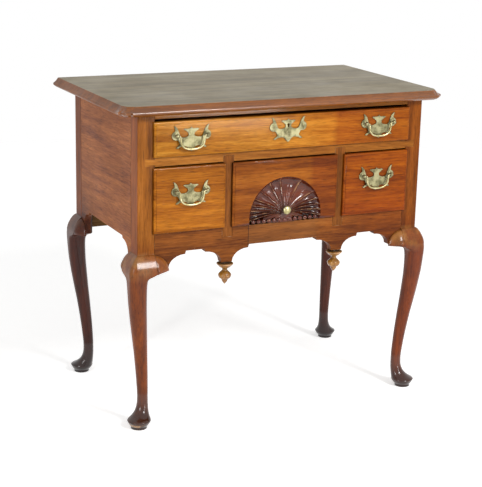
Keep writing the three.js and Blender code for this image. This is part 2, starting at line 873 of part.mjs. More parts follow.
function makeDrawer(name, x0, x1, z0, z1, gap, cuts) {
  const [left, right] = [x0 + drawerPlay, x1 - drawerPlay];
  const [bottom, top] = [z0 + seat, z1 - gap];
  const boxTop = top - boxSideDrop;
  const frontShoulder = frontBack + seat;
  const rearShoulder = boxRear - boxBackThickness - seat;
  const lip = loft(
    lipProfile.map(([inset, depth]) => [
      [x0 - lipOverlap + inset, lipBack - depth, z0 + lipLift + inset],
      [x1 + lipOverlap - inset, lipBack - depth, z0 + lipLift + inset],
      [x1 + lipOverlap - inset, lipBack - depth, top - inset],
      [x0 - lipOverlap + inset, lipBack - depth, top - inset],
    ]),
  );
  const grooveBottom = bottom + grooveLift;
  const grooveTop = grooveBottom + grooveHeight;
  const frontGroove = box(
    left + boxSideThickness - grooveDepth,
    right - boxSideThickness + grooveDepth,
    frontBack - grooveDepth,
    frontBack + overrun,
    grooveBottom,
    grooveTop,
  );
  let front = lip.add(box(left, right, lipBack - lipQuirk, frontBack, bottom, top)).subtract(frontGroove);
  const sideOutline = [
    ...tailedEnd(bottom, boxTop, frontShoulder, -boxSideThickness),
    ...tailedEnd(bottom, boxTop, rearShoulder, boxBackThickness).reverse(),
  ];
  let back = box(left, right, rearShoulder + seat, boxRear, grooveTop + seat, boxTop);
  for (const [side, hand] of hands) {
    const [outer, inner] = hand < 0 ? [left, left + boxSideThickness] : [right, right - boxSideThickness];
    const [a, b] = [Math.min(outer, inner), Math.max(outer, inner)];
    const [wideA, wideB] = hand < 0 ? [a - overrun, b + seat] : [a - seat, b + overrun];
    const [g0, g1] = hand < 0 ? [b - grooveDepth, b + overrun] : [a - overrun, a + grooveDepth];
    const groove = box(g0, g1, caseFront, boxRear + overrun, grooveBottom, grooveTop);
    add(`${name}_side_${side}`, sidePrism(sideOutline, a, b).subtract(groove), plainWood);
    front = front.subtract(sockets(wideA, wideB, bottom, boxTop, frontShoulder, -boxSideThickness));
    back = back.subtract(sockets(wideA, wideB, bottom, boxTop, rearShoulder, boxBackThickness));
  }
  add(`${name}_front`, cuts.reduce((solid, cut) => solid.subtract(cut), front), frontWood);
  add(`${name}_back`, back, plainWood);

  // The bottom is bevelled underneath to enter the grooves, and slides in below the back.
  const tongue = grooveDepth - seat;
  const bottomRing = (inset, z) => [
    [left + boxSideThickness - tongue + inset, frontBack - tongue + inset, z],
    [right - boxSideThickness + tongue - inset, frontBack - tongue + inset, z],
    [right - boxSideThickness + tongue - inset, boxRear, z],
    [left + boxSideThickness - tongue + inset, boxRear, z],
  ];
  const bottomBoard = loft([
    bottomRing(bottomBevel, grooveBottom - bottomDrop),
    bottomRing(grooveDepth, grooveBottom + seat),
    bottomRing(0, grooveBottom + seat),
    bottomRing(0, grooveTop - seat),
  ]);
  add(`${name}_bottom`, bottomBoard, plainWood);
}

// Outline of a plate of the pulls and of the escutcheon, about the level of its bosses.
function plateOutline() {
  const scaled = ([u, v]) => [u * plateHalfWidth, v * (v > 0 ? plateRise : plateFall)];
  return mirrored([
    ...plateUpperShares.map(scaled),
    ...arcPoints(pullSpacing / 2, 0, bossRadius, bossStartShare, bossEndShare, bossSteps),
    ...plateLowerShares.map(scaled),
  ]);
}

const plateBack = drawerFace - seat;
const plateFront = plateBack - plateThickness;
const pullAxis = drawerFace - pullReach;

function plateAt(x, z) {
  const placed = plateOutline().map(([u, v]) => [x + u, z + v]);
  return frontPrism(placed, plateFront, plateBack);
}

// The rounded end of a post or knob, from its neck to the tip of its axis. The depth is half its length.
function ballProfile(radius, depth, neck, middle) {
  const first = -Math.acos(neck / radius);
  return Array.from({ length: ballSteps + 1 }, (_, i) => {
    const turn = first + ((quarterTurn - first) * i) / ballSteps;
    return [i === ballSteps ? 0 : radius * Math.cos(turn), middle - depth * Math.sin(turn)];
  });
}

// A nut inside the drawer and a shank through its front, which a post or knob grows from.
function shankProfile(face) {
  return [
    [0, frontBack + seat + nutThickness],
    [nutRadius, frontBack + seat + nutThickness],
    [nutRadius, frontBack + seat],
    [shankRadius, frontBack + seat],
    [shankRadius, face],
  ];
}

function shankHole(x, z) {
  const radius = shankRadius + holePlay;
  const ends = [drawerFace - overrun, frontBack + overrun];
  const profile = [
    [0, ends[0]],
    [radius, ends[0]],
    [radius, ends[1]],
    [0, ends[1]],
  ];
  return turnedOut(profile, pullSides, x, z);
}

// A hole in the inner side of a post's ball, for the pin of the bail.
function pinHole(x, z, hand) {
  const radius = bailPinRadius + bailPinGap;
  const profile = [
    [0, 0],
    [radius, 0],
    [radius, pullBallRadius + overrun],
    [0, pullBallRadius + overrun],
  ];
  const points = profile.map(([r, along]) => new THREE.Vector2(r, along));
  const geometry = new THREE.LatheGeometry(points, bailSides);
  geometry.rotateZ(hand * quarterTurn);
  geometry.translate(x, pullAxis, z);
  return solidOf(geometry);
}

function pullPlate(x, z) {
  const profile = [
    ...shankProfile(plateFront),
    [nutRadius, plateFront],
    [nutRadius, plateFront - plateThickness / 2],
    ...ballProfile(pullBallRadius, pullBallRadius, pullBallRadius / 2, pullAxis),
  ];
  return hands.reduce((solid, [, hand]) => {
    const post = x + (hand * pullSpacing) / 2;
    return solid.add(turnedOut(profile, pullSides, post, z)).subtract(pinHole(post, z, hand));
  }, plateAt(x, z));
}

function bail(x, z) {
  const half = pullSpacing / 2;
  const bend = bailPathShares.map(([u, v]) => [u * half, -v * bailDrop]);
  const path = [[half - bailPinGap, 0], ...bend, [0, -bailDrop]];
  const whole = [...path, ...path.slice(0, -1).map(([u, v]) => [-u, v]).reverse()];
  const curve = new THREE.CatmullRomCurve3(whole.map(([u, v]) => new THREE.Vector3(x + u, pullAxis, z + v)));
  const rings = whole.map((_, i) => {
    const share = i / (whole.length - 1);
    const point = curve.getPoint(share);
    const along = curve.getTangent(share);
    const across = new THREE.Vector3(-along.z, 0, along.x);
    const radius = bailPinRadius + (bailRadius - bailPinRadius) * Math.sin(Math.PI * share);
    return arcPoints(0, 0, radius, 0, 1, bailSides)
      .slice(1)
      .map(([u, v]) => [point.x + across.x * u, point.y + v, point.z + across.z * u]);
  });
  return loft(rings);
}

function keyhole(z, y0, y1) {
  const middle = z + keyholeRise;
  const slot = box(-keyholeSlotWidth / 2, keyholeSlotWidth / 2, y0, y1, middle - keyholeDrop, middle);
  return slot.add(turnedOut([[0, y0], [keyholeRadius, y0], [keyholeRadius, y1], [0, y1]], pullSides, 0, middle));
}

// The fan's hollow: a dish of flutes round a hub, parted by ridges that are left standing.
function fanHollow(hubZ) {
  const bearings = fanRidgeShares.flatMap((from, i) => {
    const to = i + 1 < fanRidgeShares.length ? fanRidgeShares[i + 1] : fanRidgeShares[0] + quarters;
    return Array.from({ length: fanFluteSteps }, (_, step) => {
      const share = step / fanFluteSteps;
      return [(from + (to - from) * share) * quarterTurn, Math.sqrt(Math.sin(Math.PI * share))];
    });
  });
  const ring = (radius, depthAt) =>
    bearings.map(([turn, hollow]) => [
      radius * fanRadius * Math.sin(turn),
      drawerFace + depthAt(hollow),
      hubZ + radius * fanRadius * Math.cos(turn),
    ]);
  return loft([
    ring(1, () => -overrun),
    ...fanProfileShares.map(([radius, ridge, flute]) =>
      ring(radius, (hollow) => ridge * fanDepth + hollow * flute * fanFluteDepth),
    ),
  ]);
}

const pullCentre = (openingEdge + stileOuter) / 2;
const upperPullZ = dividerTop + upperPullHeight;
const lowerPullZ = apronTop + lowerPullHeight;
const escutcheonZ = dividerTop + escutcheonHeight;
const hubZ = apronTop + fanHubLift;
const knobZ = hubZ + knobLift;
const pullHoles = (x, z) => hands.map(([, hand]) => shankHole(x + (hand * pullSpacing) / 2, z));

const lockTop = upperFaceTop;
const keyCut = keyhole(escutcheonZ, drawerFace - overrun, frontBack + seat + lockDepth / 4);
const upperCuts = [...pullHoles(-pullCentre, upperPullZ), ...pullHoles(pullCentre, upperPullZ), keyCut];
makeDrawer("upper_drawer", -openingEdge, openingEdge, dividerTop, topRailBottom, upperLipGap, upperCuts);

const innerEdge = centreOpeningWidth / 2;
const fanCuts = [fanHollow(hubZ), shankHole(0, knobZ)];
makeDrawer("fan_drawer", -innerEdge, innerEdge, apronTop, dividerBottom, lowerLipGap, fanCuts);

for (const [side, hand] of hands) {
  const [x0, x1] = hand < 0 ? [-openingEdge, -stileOuter] : [stileOuter, openingEdge];
  const x = hand * pullCentre;
  const name = `${side}_drawer`;
  makeDrawer(name, x0, x1, apronTop, dividerBottom, lowerLipGap, pullHoles(x, lowerPullZ));
  add(`${name}_pull`, pullPlate(x, lowerPullZ), brass);
  add(`${name}_bail`, bail(x, lowerPullZ), brass);
  add(`upper_pull_${side}`, pullPlate(x, upperPullZ), brass);
  add(`upper_bail_${side}`, bail(x, upperPullZ), brass);
}

const pinHead = [
  [0, plateBack],
  [shankRadius, plateFront],
  [shankRadius / 2, plateFront - plateThickness / 2],
  [0, plateFront - plateThickness / 2],
];
const escutcheon = hands.reduce(
  (solid, [, hand]) => solid.add(turnedOut(pinHead, pullSides, (hand * pullSpacing) / 2, escutcheonZ)),
  plateAt(0, escutcheonZ).subtract(keyCut),
);
add("escutcheon", escutcheon, brass);

const knobProfile = [
  ...shankProfile(drawerFace),
  ...ballProfile(knobRadius, knobDepth, knobStemRadius, drawerFace - knobReach),
];
add("fan_drawer_knob", turnedOut(knobProfile, knobSides, 0, knobZ), brass);

const lockFront = frontBack + seat;
const lockCase = box(-lockWidth / 2, lockWidth / 2, lockFront, lockFront + lockDepth, lockTop - lockHeight, lockTop);
const boltSpace = bolt(boltPlay, lockTop - boltHeight - boltPlay, lockTop + overrun);
add("lock_body", lockCase.subtract(boltSpace).subtract(keyCut), iron);
add("lock_bolt", bolt(0, lockTop - boltHeight, lockTop), iron);

export default lowboy;
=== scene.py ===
# Looks of a lowboy, a small dressing table of walnut with pierced brasses and a carved fan.
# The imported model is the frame. Curved pieces are made again with more faces, the others get
# softened edges, and each piece gets a wood, brass or iron of its own.
# Lengths are in metres, +Z is up and the front faces -Y.

import json
import math

import bmesh
import bpy
from mathutils import Color, Matrix, Vector


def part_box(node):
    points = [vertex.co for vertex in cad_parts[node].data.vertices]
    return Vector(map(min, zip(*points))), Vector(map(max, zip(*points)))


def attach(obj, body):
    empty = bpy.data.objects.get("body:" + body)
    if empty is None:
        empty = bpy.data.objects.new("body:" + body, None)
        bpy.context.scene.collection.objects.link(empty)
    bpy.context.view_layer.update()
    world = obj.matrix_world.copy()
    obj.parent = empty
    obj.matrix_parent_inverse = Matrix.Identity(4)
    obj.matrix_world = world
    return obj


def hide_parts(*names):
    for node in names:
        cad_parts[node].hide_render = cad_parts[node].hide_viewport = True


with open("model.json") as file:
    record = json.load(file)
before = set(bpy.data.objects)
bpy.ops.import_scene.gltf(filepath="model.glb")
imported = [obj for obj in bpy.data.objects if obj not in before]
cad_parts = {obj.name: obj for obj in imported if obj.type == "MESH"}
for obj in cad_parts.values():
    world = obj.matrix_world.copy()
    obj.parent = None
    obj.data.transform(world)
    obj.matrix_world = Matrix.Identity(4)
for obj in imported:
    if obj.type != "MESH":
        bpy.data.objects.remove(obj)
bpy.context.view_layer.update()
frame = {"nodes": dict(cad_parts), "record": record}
bodies = frame["record"]["behaviour"]["bodies"]
body_of = {node: body for body, members in bodies.items() for node in members}

QUARTERS = 4
QUARTER = math.tau / QUARTERS
HANDS = {"left": -1, "right": 1}

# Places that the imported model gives.
CASE_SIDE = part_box("side_panel_right")[1].x
CASE_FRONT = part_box("apron_front")[0].y
CASE_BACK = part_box("back_panel")[1].y
CASE_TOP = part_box("back_panel")[1].z
APRON_BOTTOM, APRON_TOP = (corner.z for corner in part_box("apron_front"))
BOARD_LOW, BOARD_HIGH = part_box("top_board")
DRAWER_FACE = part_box("fan_drawer_front")[0].y
DRAWER_FRONT_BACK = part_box("fan_drawer_front")[1].y

# Joints: gaps of sockets and of seated faces, a cutter's overrun, and how near corners are joined.
GLUE_GAP = 0.00025
SEAT = 0.0003
OVERRUN = 0.005
WELD = 1e-6

# Softened edges: widths on boards, drawer fronts, small parts and metal, then what counts as sharp
# and as flat, and how an edge is rounded.
BOARD_EASE = 0.0012
FRONT_EASE = 0.001
BOX_EASE = 0.0006
METAL_EASE = 0.0003
SHARP_ANGLE = math.radians(32)
FLAT_ANGLE = math.radians(1)
EASE_STEPS = 2
EASE_PROFILE = 0.5

# Top board: its moulding and the notches of its front corners. Each row of shares: height above the
# underside, then inset.
MOULD_WIDTH = 0.013
ARRIS_WIDTH = 0.001
NOTCH = 0.025
NOTCH_FILLET = 0.006
NOTCH_STEPS = 12
MOULD_STEPS = 4
MOULD_SHARES = (
    (0, 0.5),
    (0.17, 0.14),
    (0.24, 0.03),
    (0.34, 0),
    (0.42, 0.04),
    (0.46, 0.12),
    (0.52, 0.27),
    (0.64, 0.5),
    (0.8, 0.74),
    (0.95, 0.93),
    (1, 1),
)

# Cabriole legs. Each row: height as a share of the knee's height, outer face as a share of the
# knee's reach, inner face as a share of the post, rounding of the outer corner and of the others.
POST = 0.042
REAR_POST_WIDTH = 0.028
KNEE_HEIGHT = 0.427
KNEE_RISE = 0.048
KNEE_REACH = 0.023
KNEE_WIDEST = KNEE_HEIGHT - KNEE_RISE
POST_ARRIS = 0.0012
KNEE_CORNER_SHARE = 0.52
CORNER_STEPS = 10
LEG_STATION_SHARES = (
    (0, 0.52, 0.64, 1, 1),
    (0.0155, 0.55, 0.655, 1, 1),
    (0.0165, 0.6, 0.69, 1, 1),
    (0.04, 0.86, 0.855, 1, 1),
    (0.044, 0.89, 0.865, 1, 1),
    (0.05, 0.8, 0.86, 1, 1),
    (0.063, 0.42, 0.845, 1, 1),
    (0.078, 0.1, 0.836, 1, 1),
    (0.094, -0.12, 0.833, 1, 1),
    (0.115, -0.28, 0.834, 1, 1),
    (0.14, -0.37, 0.835, 1, 1),
    (0.18, -0.39, 0.83, 1, 1),
    (0.253, -0.29, 0.81, 1, 1),
    (0.443, 0.13, 0.707, 1, 1),
    (0.557, 0.46, 0.63, 1, 1),
    (0.67, 0.77, 0.565, 1, 1),
    (0.745, 0.91, 0.52, 0.9, 0.9),
    (0.82, 0.98, 0.5, 0.78, 0.78),
    (0.857, 1, 0.515, 0.69, 0.66),
    (0.872, 1, 0.57, 0.63, 0.5),
    (0.881, 1, 0.68, 0.58, 0.3),
    (0.888, 1, 0.82, 0.54, 0.12),
    (0.898, 1, 1, 0.52, 0),
)
# The knee's face rolls back to the post: height as a share of the rise, reach as a share.
KNEE_ROLL_SHARES = (
    (0, 1),
    (0.19, 1),
    (0.375, 0.91),
    (0.54, 0.76),
    (0.71, 0.57),
    (0.855, 0.36),
    (0.95, 0.17),
    (1, 0),
)
LEG_STEPS = 4
ANKLE_HEIGHT = 0.08
LEG_GLEAM_SHARE = 0.45

# Knee blocks.
BLOCK_RUN = 0.0435
BLOCK_TUCK = 0.008
BLOCK_DROP = 0.042
BLOCK_TOP_DIP = 0.0025
BLOCK_HEEL_DROP = 0.0035
BLOCK_HEEL_RUN = 0.018
BLOCK_TIP_REACH = 0.005
BLOCK_EDGE = 0.0015
BLOCK_FOOT_SHARE = 0.9
BLOCK_LAST_TURN_SHARE = 0.93
BLOCK_RINGS = 28

# Drop finials: distance below the apron as a share of the length, radius as a share of the ball's.
FINIAL_DOWEL_RADIUS = 0.0045
FINIAL_DOWEL_LENGTH = 0.018
FINIAL_LENGTH = 0.053
FINIAL_RADIUS = 0.016
FINIAL_SHARES = (
    (0.005, 1.2),
    (0.02, 1.27),
    (0.05, 1.24),
    (0.15, 0.93),
    (0.175, 0.88),
    (0.215, 0.62),
    (0.27, 0.42),
    (0.31, 0.38),
    (0.35, 0.45),
    (0.43, 0.72),
    (0.51, 0.95),
    (0.56, 1),
    (0.64, 0.93),
    (0.71, 0.76),
    (0.735, 0.55),
    (0.85, 0.4),
    (1, 0),
)
FINIAL_RIM_SHARE = 0.06
TURNED_SIDES = 48
TURNED_STEPS = 4

# Lip of the fan drawer's front.
LIP_LIFT = 0.001
LIP_THICKNESS = 0.008
LIP_ROUND = 0.006
LIP_ROUND_DEPTH = 0.0045
LIP_QUIRK = 0.0008
LIP_STEPS = 8

# Carved fan: thin ridges between hand-cut flutes, as shares of a quarter turn from upright, left to
# right, then rows of radius as a share of the fan's and the depths of ridges and flutes as shares.
FAN_RADIUS = 0.096
FAN_HUB_LIFT = 0.016
FAN_DEPTH = 0.0085
FAN_FLUTE_DEPTH = 0.0058
FAN_FLUTE_STEPS = 18
FAN_RING_STEPS = 4
FAN_RIDGE_SHARES = (
    -1.5, -1.2, -1.04, -0.96, -0.88, -0.78, -0.66, -0.49, -0.29,
    -0.09, 0.3, 0.61, 0.75, 0.85, 0.94, 1.03, 1.2, 1.5,
)
FAN_RIDGE_TOP_SHARE = 0.012
# How pale the ridge tops are painted, as wear and as a painted highlight.
FAN_RIDGE_WEAR_AND_HIGHLIGHT_SHARE = 0.5
FAN_TOOL_SHARE = 0.13
FAN_TOOL_DEPTH_SHARE = 0.45
FAN_BEND_SHARE = 0.34
FAN_UNBEND_STEPS = 6
FAN_PROFILE_SHARES = (
    (1, 0.06, 0),
    (0.965, 0.5, 0.4),
    (0.89, 0.9, 0.9),
    (0.77, 1, 1),
    (0.55, 0.84, 0.82),
    (0.24, 0.45, 0.3),
    (0.1, 0.24, 0.05),
)
# Row of small lobes along the fan's lower edge.
LOBE_PITCH = 0.0138
LOBE_COUNT = 13
LOBE_WIDTH = 0.0062
LOBE_HEIGHT = 0.005
LOBE_LIFT = 0.006
LOBE_SINK = 0.0022
LOBE_SINK_SHARE = 0.045
LOBE_COVER = 0.0003
LOBE_SIDES = 20
LOBE_RINGS = 12

# Brasses. The path of half a bail runs from its pin to the middle, in shares of half the posts'
# spacing and of the drop.
PULL_SPACING = 0.076
PULL_REACH = 0.01
PULL_BALL_RADIUS = 0.0052
PLATE_THICKNESS = 0.0018
PLATE_FRONT = DRAWER_FACE - SEAT - PLATE_THICKNESS
POST_COLLAR = 0.0025
POST_COLLAR_SHARES = ((0, 1.02), (0.2, 1.1), (0.4, 0.98), (0.62, 0.6), (0.8, 0.5), (1, 0.5))
BAIL_DROP = 0.031
BAIL_RADIUS = 0.0024
BAIL_PIN_RADIUS = 0.0015
BAIL_PIN_GAP = 0.0007
BAIL_SIDES = 16
BAIL_STEPS = 5
BAIL_PATH_SHARES = (
    (0.87, 0),
    (0.81, 0.06),
    (0.785, 0.22),
    (0.76, 0.47),
    (0.66, 0.74),
    (0.45, 0.92),
    (0.18, 0.995),
)
BALL_STEPS = 14
KNOB_RADIUS = 0.0105
KNOB_DEPTH = 0.006
KNOB_REACH = 0.008
KNOB_STEM_RADIUS = 0.003
SHANK_RADIUS = 0.002
NUT_RADIUS = 0.0055
NUT_THICKNESS = 0.003


def piece_from(name, form):
    """Turns a bmesh into an object of the scene."""
    data = bpy.data.meshes.new(name)
    form.to_mesh(data)
    form.free()
    piece = bpy.data.objects.new(name, data)
    bpy.context.scene.collection.objects.link(piece)
    return piece


def finer(rows, steps):
    """Adds rows between the given ones, on smooth curves over the first column that never overshoot."""
    places = [row[0] for row in rows]
    gaps = [after - before for before, after in zip(places, places[1:])]
    bends = []
    for column in zip(*rows):
        rises = [(after - before) / gap for before, after, gap in zip(column, column[1:], gaps)]
        inner = [2 * a * b / (a + b) if a * b > 0 else 0 for a, b in zip(rises, rises[1:])]
        bends.append([rises[0], *inner, rises[-1]])
    made = []
    for i, gap in enumerate(gaps):
        for step in range(steps):
            t = step / steps
            rest = 1 - t
            near, far = rest * rest * (1 + 2 * t), t * t * (1 + 2 * rest)
            lead, tail = gap * t * rest * rest, -gap * rest * t * t
            made.append(
                [
                    near * first + far * second + lead * bend[i] + tail * bend[i + 1]
                    for first, second, bend in zip(rows[i], rows[i + 1], bends)
                ]
            )
    return [*made, list(rows[-1])]


def lofted(name, rings, **marks):
    """A closed solid through a stack of rings of as many points. A mark is 1 on the rings it names."""
    form = bmesh.new()
    layers = {mark: form.verts.layers.float.new(mark) for mark in marks}
    stack = [[form.verts.new(point) for point in ring] for ring in rings]
    for mark, chosen in marks.items():
        for i in chosen:
            for vert in stack[i]:
                vert[layers[mark]] = 1
    for low, high in zip(stack, stack[1:]):
        for i, corner in enumerate(low):
            form.faces.new((low[i - 1], corner, high[i], high[i - 1]))
    form.faces.new(stack[0])
    form.faces.new(stack[-1])
    bmesh.ops.remove_doubles(form, verts=form.verts, dist=WELD)
    bmesh.ops.recalc_face_normals(form, faces=form.faces)
    return piece_from(name, form)


def block(name, low, high):
    corners = ((low.x, low.y), (high.x, low.y), (high.x, high.y), (low.x, high.y))
    return lofted(name, [[(x, y, z) for x, y in corners] for z in (low.z, high.z)])


def arc(centre_u, centre_v, radius, first, last, steps):
    turns = [first + (last - first) * i / steps for i in range(steps + 1)]
    return [(centre_u + radius * math.cos(turn), centre_v + radius * math.sin(turn)) for turn in turns]


def circle(radius):
    return arc(0, 0, radius, 0, math.tau, TURNED_SIDES)[1:]


def turned(name, profile, to_world, **marks):
    """A form turned about an axis, from pairs of a radius and a place along it."""
    rings = [[to_world(u, v, along) for u, v in circle(radius)] for radius, along in profile]
    return lofted(name, rings, **marks)


def combine(piece, operation, *others):
    """Joins other solids to a piece or cuts them out of it, and removes them."""
    for other in others:
        modifier = piece.modifiers.new(other.name, "BOOLEAN")
        modifier.operation = operation
        modifier.solver = "MANIFOLD"
        modifier.object = other
    evaluated = piece.evaluated_get(bpy.context.evaluated_depsgraph_get())
    data = bpy.data.meshes.new_from_object(evaluated)
    piece.modifiers.clear()
    piece.data = data
    for other in others:
        bpy.data.objects.remove(other)
    return piece


def form_of(data):
    """A mesh with its corners joined and its flat faces merged."""
    form = bmesh.new()
    form.from_mesh(data)
    bmesh.ops.remove_doubles(form, verts=form.verts, dist=WELD)
    bmesh.ops.dissolve_limit(form, angle_limit=FLAT_ANGLE, verts=form.verts, edges=form.edges)
    form.normal_update()
    return form


def fattened(node, amount):
    """A neighbour's shape with the glue gap round it, to cut its socket with."""
    form = bmesh.new()
    form.from_mesh(frame["nodes"][node].data)
    bmesh.ops.remove_doubles(form, verts=form.verts, dist=WELD)
    form.normal_update()
    moves = [(vert, vert.normal * vert.calc_shell_factor() * amount) for vert in form.verts]
    for vert, move in moves:
        vert.co += move
    return piece_from(f"{node}_cutter", form)


def eased(name, data, width):
    """A mesh's shape with its sharp edges taken off, and an attribute that is 1 along them, where they are
    painted pale as wear and as a painted highlight.
    """
    form = form_of(data)
    sharp = [edge for edge in form.edges if edge.is_manifold and edge.calc_face_angle() > SHARP_ANGLE]
    made = bmesh.ops.bevel(
        form,
        geom=sharp,
        offset=width,
        segments=EASE_STEPS,
        profile=EASE_PROFILE,
        affect="EDGES",
        clamp_overlap=True,
    )
    strips = set(made["faces"])
    layer = form.verts.layers.float.new("worn")
    for vert in form.verts:
        vert[layer] = 1 if vert.link_faces and all(face in strips for face in vert.link_faces) else 0
    return piece_from(name, form)


def mark(piece, name, share_at):
    """Gives a piece an attribute that a function works out for each point."""
    layer = piece.data.attributes.get(name) or piece.data.attributes.new(name, "FLOAT", "POINT")
    for vert, value in zip(piece.data.vertices, layer.data):
        value.value = share_at(vert.co)
    return piece


# What each CAD node gets: its material and the width of its softened edges, and a slot that is listed but
# not applied.
FINISHES = {}


def finish_for(slot, material, ease, *names):
    for name in names:
        FINISHES[name] = (slot, material, ease)


def both(name):
    return [f"{name}_{side}" for side in HANDS]


PULLS = (*both("upper_pull"), "left_drawer_pull", "right_drawer_pull")


def bail_of(pull):
    return pull.replace("pull", "bail")


def dress(piece, node):
    """Puts a finished piece in a CAD node's place."""
    slot, material, _ = FINISHES[node]
    piece.data.materials.clear()
    piece.data.materials.append(material)
    piece.data.shade_smooth()
    piece.data.set_sharp_from_angle(angle=SHARP_ANGLE)
    weighted = piece.modifiers.new("even_shading", "WEIGHTED_NORMAL")
    weighted.keep_sharp = True
    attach(piece, body_of[node])
    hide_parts(node)
    return piece


class Finish:
    """A material whose nodes are added one by one, each fed by values or by earlier nodes."""

    def __init__(self, name):
        self.material = bpy.data.materials.new(name)
        self.material.use_nodes = True
        self.tree = self.material.node_tree
        self.shader = self.tree.nodes["Principled BSDF"]
        self.place = self.node("ShaderNodeTexCoord", {}, output="Object")

    def feed(self, node, inputs):
        for socket, value in inputs.items():
            if isinstance(value, bpy.types.NodeSocket):
                self.tree.links.new(value, node.inputs[socket])
            else:
                node.inputs[socket].default_value = value

    def node(self, kind, inputs, output=0, **settings):
        node = self.tree.nodes.new(kind)
        for setting, value in settings.items():
            setattr(node, setting, value)
        self.feed(node, inputs)
        return node.outputs[output]

    def along(self, axis):
        """Where a point lies along an axis."""
        return self.node("ShaderNodeSeparateXYZ", {"Vector": self.place}, output=axis)

    def noise(self, scale, detail, roughness, vector=None):
        place = self.place if vector is None else vector
        inputs = {"Vector": place, "Scale": scale, "Detail": detail, "Roughness": roughness}
        return self.node("ShaderNodeTexNoise", inputs)

    def marked(self, name):
        return self.node("ShaderNodeAttribute", {}, output="Fac", attribute_name=name)

    def math(self, operation, *values):
        return self.node("ShaderNodeMath", dict(enumerate(values)), operation=operation)

    def sum_of(self, *parts):
        """Adds up pairs of a value and its weight."""
        total = None
        for value, weight in parts:
            part = self.math("MULTIPLY", value, weight)
            total = part if total is None else self.math("ADD", total, part)
        return total

    def product(self, first, second):
        return self.math("MULTIPLY", first, second)

    def wavy(self, value, reach, *noise):
        """A place along an axis that wavers by some reach."""
        return self.sum_of((value, 1), (self.noise(*noise), reach))

    def spread(self, value, low, high, to_low=0, to_high=1):
        inputs = {"Value": value, "From Min": low, "From Max": high, "To Min": to_low, "To Max": to_high}
        return self.node("ShaderNodeMapRange", inputs)

    def blend(self, factor, first, second, mode="MIX"):
        inputs = {MIX_FACTOR: factor, MIX_COLOURS[0]: first, MIX_COLOURS[1]: second}
        return self.node("ShaderNodeMix", inputs, output=2, data_type="RGBA", blend_type=mode)

    def stained(self, factor, colour, cast):
        """A colour multiplied by a cast as far as a factor says."""
        return self.blend(factor, colour, cast, "MULTIPLY")

    def shaded(self, colour, shade):
        """A colour made darker or lighter by a value."""
        return self.stained(1, colour, self.node("ShaderNodeCombineColor", {0: shade, 1: shade, 2: shade}))

    def ramp(self, value, positions, colours):
        node = self.tree.nodes.new("ShaderNodeValToRGB")
        self.feed(node, {"Fac": value})
        elements = node.color_ramp.elements
        while len(elements) < len(positions):
            elements.new(1)
        for element, position, colour in zip(elements, positions, colours):
            element.position = position
            element.color = colour
        return node.outputs["Color"]

    def bump(self, height, strength):
        inputs = {"Height": height, "Strength": strength, "Distance": RELIEF_DEPTH}
        return self.node("ShaderNodeBump", inputs, output="Normal")

    def dirt_and_shade(self, reach, darkest):
        """Dirt and painted shade that darken corners and hollows by how closed they are."""
        settings = {"samples": DIRT_AND_SHADE_SAMPLES}
        openness = self.node("ShaderNodeAmbientOcclusion", {"Distance": reach}, output="AO", **settings)
        return self.spread(openness, *DIRT_AND_SHADE_SHARES, darkest, 1)

    def finish(self, inputs):
        self.feed(self.shader, inputs)
        return self.material


# Sockets of a Mix node: its factor, its two vectors and its two colours.
MIX_FACTOR = 0
MIX_VECTORS = (4, 5)
MIX_COLOURS = (6, 7)

# Screen value of white.
WHITE = 255


def tone(red, green, blue):
    """A colour given as it looks on screen, in parts of 255, for a shader's socket."""
    return (*Color((red / WHITE, green / WHITE, blue / WHITE)).from_srgb_to_scene_linear(), 1)


# Tones of each wood, from its dark lines to its light ones.
# The top's greyer tones are partly painted sheen.
TOP_SHEEN_GREY = (tone(100, 88, 60), tone(124, 110, 76), tone(142, 127, 92))
RED_BROWN = (tone(112, 52, 20), tone(160, 90, 40), tone(190, 114, 56))
RAIL_BROWN = (tone(134, 76, 18), tone(174, 107, 36), tone(200, 130, 54))
APRON_BROWN = (tone(96, 46, 8), tone(134, 73, 20), tone(160, 94, 34))
STILE_BROWN = (tone(100, 54, 12), tone(134, 75, 20), tone(158, 92, 32))
POST_BROWN = (tone(108, 58, 10), tone(146, 84, 20), tone(172, 104, 36))
GOLDEN = (tone(142, 78, 10), tone(182, 114, 26), tone(212, 146, 50))
HONEY = (tone(122, 62, 4), tone(160, 90, 12), tone(190, 116, 26))
AMBER = (tone(114, 46, 0), tone(151, 72, 2), tone(178, 94, 6))
BROWN = (tone(104, 48, 4), tone(141, 73, 10), tone(166, 94, 24))
FINIAL_GOLD = (tone(84, 44, 12), tone(144, 92, 30), tone(194, 138, 60))
# Pine, aged brown, and darkened a little as painted shade for the shaded inside of the case.
PINE = (tone(82, 56, 32), tone(112, 82, 48), tone(134, 102, 64))

# Casts that multiply a wood's colour, and tones that cover it.
LEG_CAST = tone(214, 174, 60)
# Painted shade of the rear legs.
REAR_SHADE_CAST = tone(160, 130, 112)
FLANK_CAST = tone(268, 246, 300)
SOFT_CAST = tone(230, 208, 170)
LOW_REAR_CAST = tone(140, 118, 124)
# The fan's hollow: darker by stain, and by painted shade.
FAN_STAIN_AND_SHADE_CAST = tone(174, 128, 78)
EDGE_CAST = tone(270, 172, 60)
# Pale knees: partly wear, partly painted sheen.
KNEE_WEAR_AND_SHEEN_TONE = tone(190, 142, 84)
FOOT_TONE = tone(32, 19, 15)
PATCH_TONE = tone(122, 78, 40)
JOINT_TONE = tone(28, 14, 10)
# Pale tone of edges, ridges and rims, for wear and a painted highlight, and of the pad's band of wear.
WEAR_AND_HIGHLIGHT_TONE = tone(206, 158, 110)

